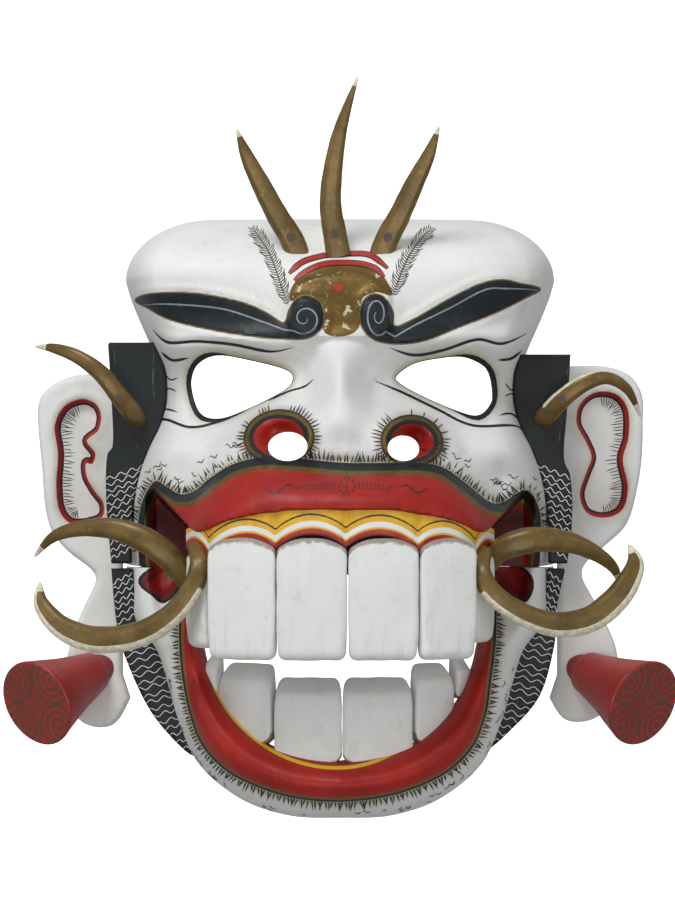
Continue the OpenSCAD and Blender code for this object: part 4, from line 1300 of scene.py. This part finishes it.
class MASK_OT_teeth(bpy.types.Operator):
    """Carves the two rows of teeth"""

    bl_idname = "mask.teeth"
    bl_label = "Teeth"

    def execute(self, context):
        for k, (x, width) in enumerate(((-54, 40), (-15.5, 39.5), (23.5, 39.5), (59.2, 34.6))):
            self.tooth(f"upper_tooth_{k + 1}", "face", width - 0.3, 66.5, 12.5, 5.0, 6.0, x,
                       float(curve(LIP_FRONT, abs(x))) - 1, 20.6,
                       lean(LIP_FRONT, x) * 0.75, True, k)
        for k, (x, width, foot) in enumerate(((-54, 34, -99), (-18, 38, -110), (21, 39.5, -110),
                                              (53.5, 25, -99))):
            self.tooth(f"lower_tooth_{k + 1}", "jaw", width + 0.9, 52 * (0.93 if abs(x) > 40 else 1), 12.5,
                       5.0, 6.5, x,
                       float(curve(LOW_LINE, abs(x))), foot, lean(LOW_LINE, x), False, 4 + k)
        for side, sign in (("left", -1), ("right", 1)):
            self.tooth(f"upper_side_tooth_{side}", "face", 22, 53 if sign < 0 else 50, 11, 5, 3, 80 * sign,
                       150, 12, 58 * sign, True, 9 + sign)
            self.tooth(f"lower_side_tooth_{side}", "jaw", 13, 26, 9, 4, 2, -74.4 if sign < 0 else 70, 113,
                       -72, 48 * sign, False, 12 + sign)
        return {"FINISHED"}

    def tooth(self, node, body, width, height, thick, corner, rise, x, depth, z, angle, hangs, seed):
        bm, p, side, up = tooth_form(width, height, thick, corner, rise)
        if not hangs:
            p[:, 2] -= 6.5 * ease(1 - p[:, 1] / (0.9 * thick)) * ease((up - 0.55) / 0.4)
        p = p + 0.28 * np.stack([wobble(p[:, 1], p[:, 2], p[:, 0], 21, seed),
                                 wobble(p[:, 0], p[:, 2], p[:, 1], 15, seed + 0.5),
                                 wobble(p[:, 0], p[:, 1], p[:, 2], 17, seed + 2)], 1)
        put(bm, place_tooth(p, x, depth, z, angle, hangs))
        bmesh.ops.recalc_face_normals(bm, faces=bm.faces)
        # Where each tooth meets the gum or the lip; the tooth paint puts painted shade there.
        root = clamp(1 - up * 7) + 0.45 * clamp((np.abs(side) - 0.9) * 8)
        settle(bm, node + "_skin", [tooth_white()], body, [node],
               {"root": root, "tip": ease((up - 0.55) / 0.4) if hangs else 0 * up},
               crisp=60)


# ---- Tusks and horns ----
HORNS = {"horn_left": [(-24, 84, 178), (-28, 86, 189), (-36, 90, 202), (-45, 95, 219), (-53, 100, 235),
                       (-58.5, 104, 249.5)],
         "horn_middle": [(-1, 86, 179), (-3, 88, 191), (-5.5, 91, 208), (-4, 96, 228), (0.5, 101, 251),
                         (10, 107, 279)],
         "horn_right": [(23, 84, 178), (27, 86, 189), (34, 90, 202), (42, 95, 219), (50, 100, 235),
                        (56, 104, 251)]}
TEMPLES = {"temple_tusk_left": [(-119, 43, 86), (-121, 55, 90), (-127, 64, 98), (-138, 68, 112),
                                (-152, 66, 122), (-166, 58, 127),
                                (-178, 50, 128.5)],
           "temple_tusk_right": [(119, 43, 86), (121, 55, 89), (128, 64, 97), (140, 68, 106),
                                 (154, 66, 110), (167, 59, 103),
                                 (175.5, 50, 87)]}
UPPER_TUSKS = {"upper_tusk_left": [(-80, 130, -10), (-88, 134, 0), (-99, 138, 12), (-112, 138, 20),
                                   (-128, 134, 24.5), (-146, 128, 24),
                                   (-161, 120, 19), (-172, 112, 8)],
               "upper_tusk_right": [(79, 130, 2), (88, 136, 12), (100, 139, 17), (112, 138, 18.5),
                                    (128, 134, 16.5), (143, 127, 10),
                                    (153, 120, 2), (157, 114, -7)]}
LOWER_TUSKS = {"lower_tusk_left": [(-79, 146, 14), (-77, 157, 5), (-81, 160, -8), (-91, 158, -21),
                                   (-105, 153, -31), (-121, 146, -36),
                                   (-139, 138, -36.5), (-156, 130, -30), (-167, 122, -18),
                                   (-168.5, 116, -6)],
               "lower_tusk_right": [(79, 146, 12), (77, 157, 2), (84, 160, -11), (100, 157, -22),
                                    (119, 150, -28), (138, 142, -25.5),
                                    (153, 134, -15), (162, 127, -3), (165, 121, 6), (162, 116, 15)]}


class MASK_OT_tusks(bpy.types.Operator):
    """Shapes the horns, temple tusks and mouth tusks"""

    bl_idname = "mask.tusks"
    bl_label = "Tusks and horns"

    def execute(self, context):
        for node, path in HORNS.items():
            self.tusk(node, path, [7.35, 7, 6.44, 5.6, 3.85, 0.7], 0.05, 0.0, 3.2)
        for node, path in TEMPLES.items():
            self.tusk(node, path, [6, 6, 5.7, 5.1, 4.2, 3, 0.7], 0.10, 0.75 if "right" in node else 0.2,
                      2.6)
        for node, path in UPPER_TUSKS.items():
            self.tusk(node, path, [6.4, 6.75, 7.5, 7.1, 6, 4.5, 3.1, 0.9], 0.07, 0.2, 2.8)
        for node, path in LOWER_TUSKS.items():
            self.tusk(node, path, [5.2, 5.6, 6, 6.4, 7.1, 7.5, 7.5, 6.4, 4.5, 0.9], 0.04, 0.95, 3.2, 0.25)
        return {"FINISHED"}

    def tusk(self, node, path, widths, tip, outer, square, edge=0.55):
        around = 40
        line = spline(np.array(path, float) * np.array([1, -1, 1]), 14)
        half = np.maximum(0.35, spline(np.array([(w, w) for w in widths], float), 14)[:, 0])
        run = np.concatenate([[0], np.cumsum(np.linalg.norm(np.diff(line, axis=0), axis=1))])
        run /= run[-1]
        # The tip closes as a small dome.
        half = half * quarter((1 - run) / 0.02 + 0.02)
        n = len(line)
        bm, i, k = flat_sheet(np.arange(n), np.arange(around + 1))
        t = np.gradient(line, axis=0)
        t /= np.linalg.norm(t, axis=1)[:, None]
        side = np.cross(t, [0, 1, 0])
        side /= np.linalg.norm(side, axis=1)[:, None]
        up = np.cross(side, t)
        bow = np.sign((side * np.gradient(t, axis=0)).sum(1).mean())
        a = 2 * math.pi * (k % around) / around
        ca, sa = np.cos(a), np.sin(a)
        flat = (np.abs(ca) ** square + np.abs(sa) ** square) ** (-1 / square)
        rough = 1 + 0.025 * wobble(run[i] * 90, ca * 9, sa * 9, 11, len(node)) + 0.03 * ease(1
                - run[i] / 0.12) * wobble(ca * 5, sa * 5, run[i] * 60, 4, 2.0)
        r = (half[i] * flat * rough)[:, None] * 0.97
        ring = line[i] + r * (side[i] * ca[:, None] + up[i] * (sa * 0.86)[:, None])
        face = side[i] * ca[:, None] + up[i] * sa[:, None]
        put(bm, np.stack([ring[:, 0], ring[:, 1] + RIM, ring[:, 2] - CROWN], 1) * MM)
        bare = 0.85 * ease((face[:, 1] + 0.1) / 0.4)
        bare = np.maximum(bare, outer * ease((-bow * ca - edge) / 0.2) * ease((run[i] - 0.12) / 0.1))
        bare = np.maximum(bare, ease((run[i] - 1 + tip + 0.03) / 0.05))
        worn = ease(1 - run[i] / 0.16) * 0.8
        carry(bm, {"bare": bare, "worn": worn})
        seal(bm)
        settle(bm, node + "_skin", [tusk_gilt()], "face", [node], crisp=50)


# ---- Ears, boards and plugs ----
EARS = {"left": [(147, 113.5), (160, 112), (171, 107), (179, 98), (180, 84), (177.5, 56), (176, 36),
                 (172, 20), (162, 7.5), (149, -2.5),
                 (145.5, -9), (149, -18), (156, -33), (162, -52), (164, -72), (158, -90), (147, -97),
                 (134, -95), (125, -80)],
        "right": [(137, 118), (157, 118), (172, 113), (180, 101), (180.5, 84), (180, 64), (177, 44),
                  (171, 24), (158, 11), (146, 0),
                  (144.5, -8), (149, -17), (158, -34), (165, -52), (165, -74), (156, -89), (145, -94),
                  (133, -92), (125, -80)]}
EAR_PITS = {"left": [(154, 98), (164, 93.5), (169.5, 82), (167.5, 66), (168.5, 48), (167, 33), (161, 25),
                     (152, 24.5), (142, 28), (141, 36),
                     (146, 43), (151, 52), (151.5, 60.5), (147.5, 60), (146, 66), (151, 73.5), (144, 80),
                     (142.5, 89), (146, 95.5)],
            "right": [(152, 102), (164, 101), (171, 92), (171.5, 76), (168, 62), (171, 46), (168, 33),
                      (158, 28), (147, 31), (143, 42),
                      (147, 55), (150, 64), (146, 74), (141, 84), (143, 95)]}
HAIR = {"left": [(136, 131), (134, 100), (133, 72), (136.5, 64), (137, 39), (134, 1.5)],
        "right": [(135, 124), (133, 92), (131, 64), (135, 52), (136, 28), (133, 1.5)]}
BEARD = {"left": [(134, -1.5), (131, -33), (126, -53), (111, -85), (91, -108), (80, -113)],
         "right": [(132, -1.5), (127, -24), (126, -44), (117, -76), (98, -98), (84, -110)]}
PLUG_FROM = Vector((143, -62))
PLUG_WAY = Vector((33, -44, -17)).normalized()


def beside_face(low, high, depth):
    return [(float(half_width(z)) - depth, z) for z in np.linspace(low, high, 28)]


def mirrored(points, side):
    return [(-q[0], q[1]) if side == "left" else (q[0], q[1]) for q in points]


def cut_board(outline, step):
    p = np.array(outline, float)
    lo, hi = p.min(0) - 0.5, p.max(0) + 0.5
    bm, _, _ = flat_sheet(np.arange(lo[0], hi[0] + step, step), np.arange(lo[1], hi[1] + step, step))
    trim(bm, p, keep_inside=True)
    c, behind = thicken(bm)
    inside = away(c[:, 0], c[:, 1], even(np.vstack([p, p[:1]]), 2))
    layers(bm, behind)
    return bm, c[:, 0], c[:, 1], behind, np.maximum(0, inside)


class MASK_OT_ears(bpy.types.Operator):
    """Carves the ear boards with their painted hollows"""

    bl_idname = "mask.ears"
    bl_label = "Ears"

    def execute(self, context):
        for side in SIDES:
            body = spline(EARS[side], 4).tolist() + [(129.6, -66), (129.6, 1.5)] + beside_face(1.5,
                    EARS[side][0][1], 3)
            outline = mirrored(body, side)
            bm, x, z, behind, edge = cut_board(outline, 1.15)
            pit_line = spline(mirrored(EAR_PITS[side], side), 5, True)
            pit = away(x, z, pit_line)
            front = 15 - 3.2 * (1 - quarter(edge / 4.5)) - 5.6 * ease((pit
                    + 0.4) / 2.6) + 0.7 * np.exp(-(((pit + 3) / 2.5) ** 2))
            front = front + 0.3 * wobble(x, z, 0 * x, 27, 8.0)
            back = 6 + 1.2 * (1 - quarter(edge / 2.5)) + 0.2 * wobble(x, z, 0 * x, 13, 3.0)
            put(bm, metres(x, np.where(behind, back, front), z))
            bmesh.ops.recalc_face_normals(bm, faces=bm.faces)
            brush = Brush(bm, span=(0, 60))
            floor = even(np.vstack([pit_line, pit_line[:1]]), 1.0)
            turn = 1 if side == "right" else -1
            normal = np.gradient(floor, axis=0)
            normal = np.stack([-normal[:, 1], normal[:, 0]], 1) / np.maximum(1e-9,
                    np.linalg.norm(normal, axis=1))[:, None]
            inner = floor + normal * turn * 3.2
            if away(inner[:, 0], inner[:, 1], pit_line).mean() < 0:
                inner, turn = floor - normal * turn * 3.2, -turn
            ok = (away(inner[:, 0], inner[:, 1], pit_line) > 2.6) & (np.abs(inner[:,
                    0]) > 156) & (np.arange(len(inner)) % 2 == 0)
            for q, nrm, good in zip(inner, normal, ok):
                if good:
                    size = rng.uniform(4, 8)
                    tip = q + nrm * turn * size + np.array([0, rng.uniform(-1.5, 0.5)])
                    brush.stroke([q, (q + tip) / 2, tip], 0.5, INK, (1, 0.1), step=size / 3)
            pits = np.where(behind, UNPAINTED, pit)
            tint = np.where(behind, 0.0, 0.75 * np.exp(-((np.maximum(-pit, 0) / 3.5) ** 2)))
            settle(bm, f"ear_{side}_skin", coats(ear_paint(), ear_paint()), "face", [f"ear_{side}"],
                   {"pit": pits, "tint": tint})
        return {"FINISHED"}


class MASK_OT_boards(bpy.types.Operator):
    """Cuts the black hair and beard boards with their white curls"""

    bl_idname = "mask.boards"
    bl_label = "Hair and beard boards"

    def execute(self, context):
        for side in SIDES:
            line = spline(HAIR[side], 5).tolist()
            outline = mirrored(line + beside_face(1.5, HAIR[side][0][1], 6), side)
            self.board(f"hair_board_{side}", "face", outline, (8, 58), side)
            s = np.linspace(6, 0, 25)
            a, b = jaw_at(JAW_MOUTH, s), jaw_at(JAW_OUTER, s)
            inner = b + (a - b) * 6 / np.linalg.norm(b - a, axis=1)[:, None]
            inner[:, 1] = np.minimum(inner[:, 1], PARTING)
            low = spline(BEARD[side], 5)
            low[:, 1] = np.minimum(low[:, 1], PARTING)
            self.board(f"beard_board_{side}", "jaw", mirrored(low.tolist() + inner.tolist(), side),
                       (-112, -4), side)
        return {"FINISHED"}

    def board(self, node, body, outline, span, side):
        bm, x, z, behind, edge = cut_board(outline, 1.1)
        front = 45 - 1.6 * (1 - quarter(edge / 2.2)) + 0.25 * wobble(x, z, 0 * x, 22, 9.0)
        put(bm, metres(x, np.where(behind, BOARD_BACK + 0.8 * (1 - quarter(edge / 1.5)), front), z))
        bmesh.ops.recalc_face_normals(bm, faces=bm.faces)
        brush = Brush(bm, span=(0, 80))
        line = np.array(outline, float)
        sign = -1 if side == "left" else 1
        for row in np.arange(span[0], span[1], 3.9):
            xs = np.linspace(line[:, 0].min(), line[:, 0].max(), 160)
            inside = xs[away(xs, 0 * xs + row, line) > 0.6]
            if len(inside) < 3:
                continue
            lo, hi = inside.min() - 3, inside.max() + 3
            t = np.linspace(0, 1, 30)
            sweep = row + (0.5 - t) * 9 * sign + 1.2 * np.sin(t * 24
                                                              + rng.uniform(0, 6)) + rng.uniform(-0.6, 0.6)
            brush.stroke(np.stack([mix(lo, hi, t), sweep], 1), 0.42, WHITE, (0.3, 0.3), step=0.8)
        settle(bm, node + "_skin", coats(hair_black(), hair_black()), body, [node])


class MASK_OT_plugs(bpy.types.Operator):
    """Turns the tapered ear plugs with rings on their ends"""

    bl_idname = "mask.plugs"
    bl_label = "Ear plugs"

    def execute(self, context):
        for side in SIDES:
            way = -1 if side == "left" else 1
            bm = bmesh.new()
            outline = [(0, -4), (8.5, -4), (9.5, -3), (9.5, 4.4), (10.4, 5.6), (12.2, 6.8)]
            outline += [(12.2 + 13.6 * t - 0.9 * math.sin(math.pi * t), 6.8 + 50.6 * t)
                        for t in np.linspace(0.04, 1, 24)]
            outline += [(25.9, 58.2), (25.2, 58.9), (24.2, 59), (22, 58.7), (16, 58.5), (8, 58.45),
                        (0, 58.4)]
            verts = [bm.verts.new((r, 0, h)) for r, h in outline]
            edges = [bm.edges.new(pair) for pair in zip(verts, verts[1:])]
            bmesh.ops.spin(bm, geom=verts + edges, cent=(0, 0, 0), axis=(0, 0, 1), dvec=(0, 0, 0),
                           angle=2 * math.pi, steps=112,
                           use_merge=True, use_duplicate=False)
            bmesh.ops.remove_doubles(bm, verts=bm.verts, dist=1e-4)
            c = coords(bm)
            c[:, :2] *= (1 + 0.012 * wobble(np.arctan2(c[:, 1], c[:, 0]) * 12, c[:, 2], 0 * c[:, 2], 25,
                                            1.0))[:, None]
            end = (c[:, 2] > 58.3).astype(float)
            shade = {"disc": end, "disc_u": c[:, 0] / 25, "disc_v": c[:, 1] / 25}
            turn = (Matrix.Translation((way * PLUG_FROM[0], -10.5,
                                        PLUG_FROM[1])) @ Matrix.Rotation(math.atan2(PLUG_WAY.y,
                                                way * PLUG_WAY.x), 4, "Z")
                    @ Matrix.Rotation(math.acos(PLUG_WAY.z), 4, "Y"))
            for v, q in zip(bm.verts, c):
                p = turn @ Vector(q)
                v.co = (p.x * MM, (p.y + RIM) * MM, (p.z - CROWN) * MM)
            bmesh.ops.recalc_face_normals(bm, faces=bm.faces)
            settle(bm, f"ear_plug_{side}_skin", [plug_paint()], "face", [f"ear_plug_{side}"],
                   shade, crisp=55)
        return {"FINISHED"}


class MASK_OT_hardware(bpy.types.Operator):
    """Gives the nails, hinge pins, washers, bosses and cheek blocks their finishes"""

    bl_idname = "mask.hardware"
    bl_label = "Hardware"

    def execute(self, context):
        finish = {"horn_nails": iron_pin(), "temple_nails": iron_pin()}
        for side in SIDES:
            finish.update({f"cheek_block_{side}": bare_wood(), f"hinge_boss_{side}": bare_wood(),
                           f"hinge_pin_{side}": iron_pin(),
                           f"hinge_washer_{side}": leather_washer()})
        for node, material in finish.items():
            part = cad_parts[node]
            if not part.material_slots:
                part.data.materials.append(material)
            for place in part.material_slots:
                place.material = material
        return {"FINISHED"}


STEPS = (MASK_OT_stage, MASK_OT_face, MASK_OT_gum, MASK_OT_teeth, MASK_OT_jaw, MASK_OT_tusks, MASK_OT_ears,
         MASK_OT_boards,
         MASK_OT_plugs, MASK_OT_hardware)


class MASK_PT_panel(bpy.types.Panel):
    """Lists the mask's pieces, sizes and paints"""

    bl_idname = "MASK_PT_panel"
    bl_label = "Mask"
    bl_space_type = "VIEW_3D"
    bl_region_type = "UI"
    bl_category = "Mask"

    def draw(self, context):
        for step in STEPS:
            self.layout.operator(step.bl_idname)
        for group in (context.scene.mask_sizes, context.scene.mask_colours):
            for name in group.bl_rna.properties.keys():
                if name not in ("rna_type", "name"):
                    self.layout.prop(group, name)


CLASSES = (MaskColours, MaskSizes) + STEPS + (MASK_PT_panel,)


def register():
    for c in CLASSES:
        bpy.utils.register_class(c)
    bpy.types.Scene.mask_colours = PointerProperty(type=MaskColours)
    bpy.types.Scene.mask_sizes = PointerProperty(type=MaskSizes)


def unregister():
    del bpy.types.Scene.mask_sizes
    del bpy.types.Scene.mask_colours
    for c in reversed(CLASSES):
        bpy.utils.unregister_class(c)


def main():
    register()
    for step in STEPS:
        group, name = step.bl_idname.split(".")
        getattr(getattr(bpy.ops, group), name)()


if __name__ == "__main__":
    main()
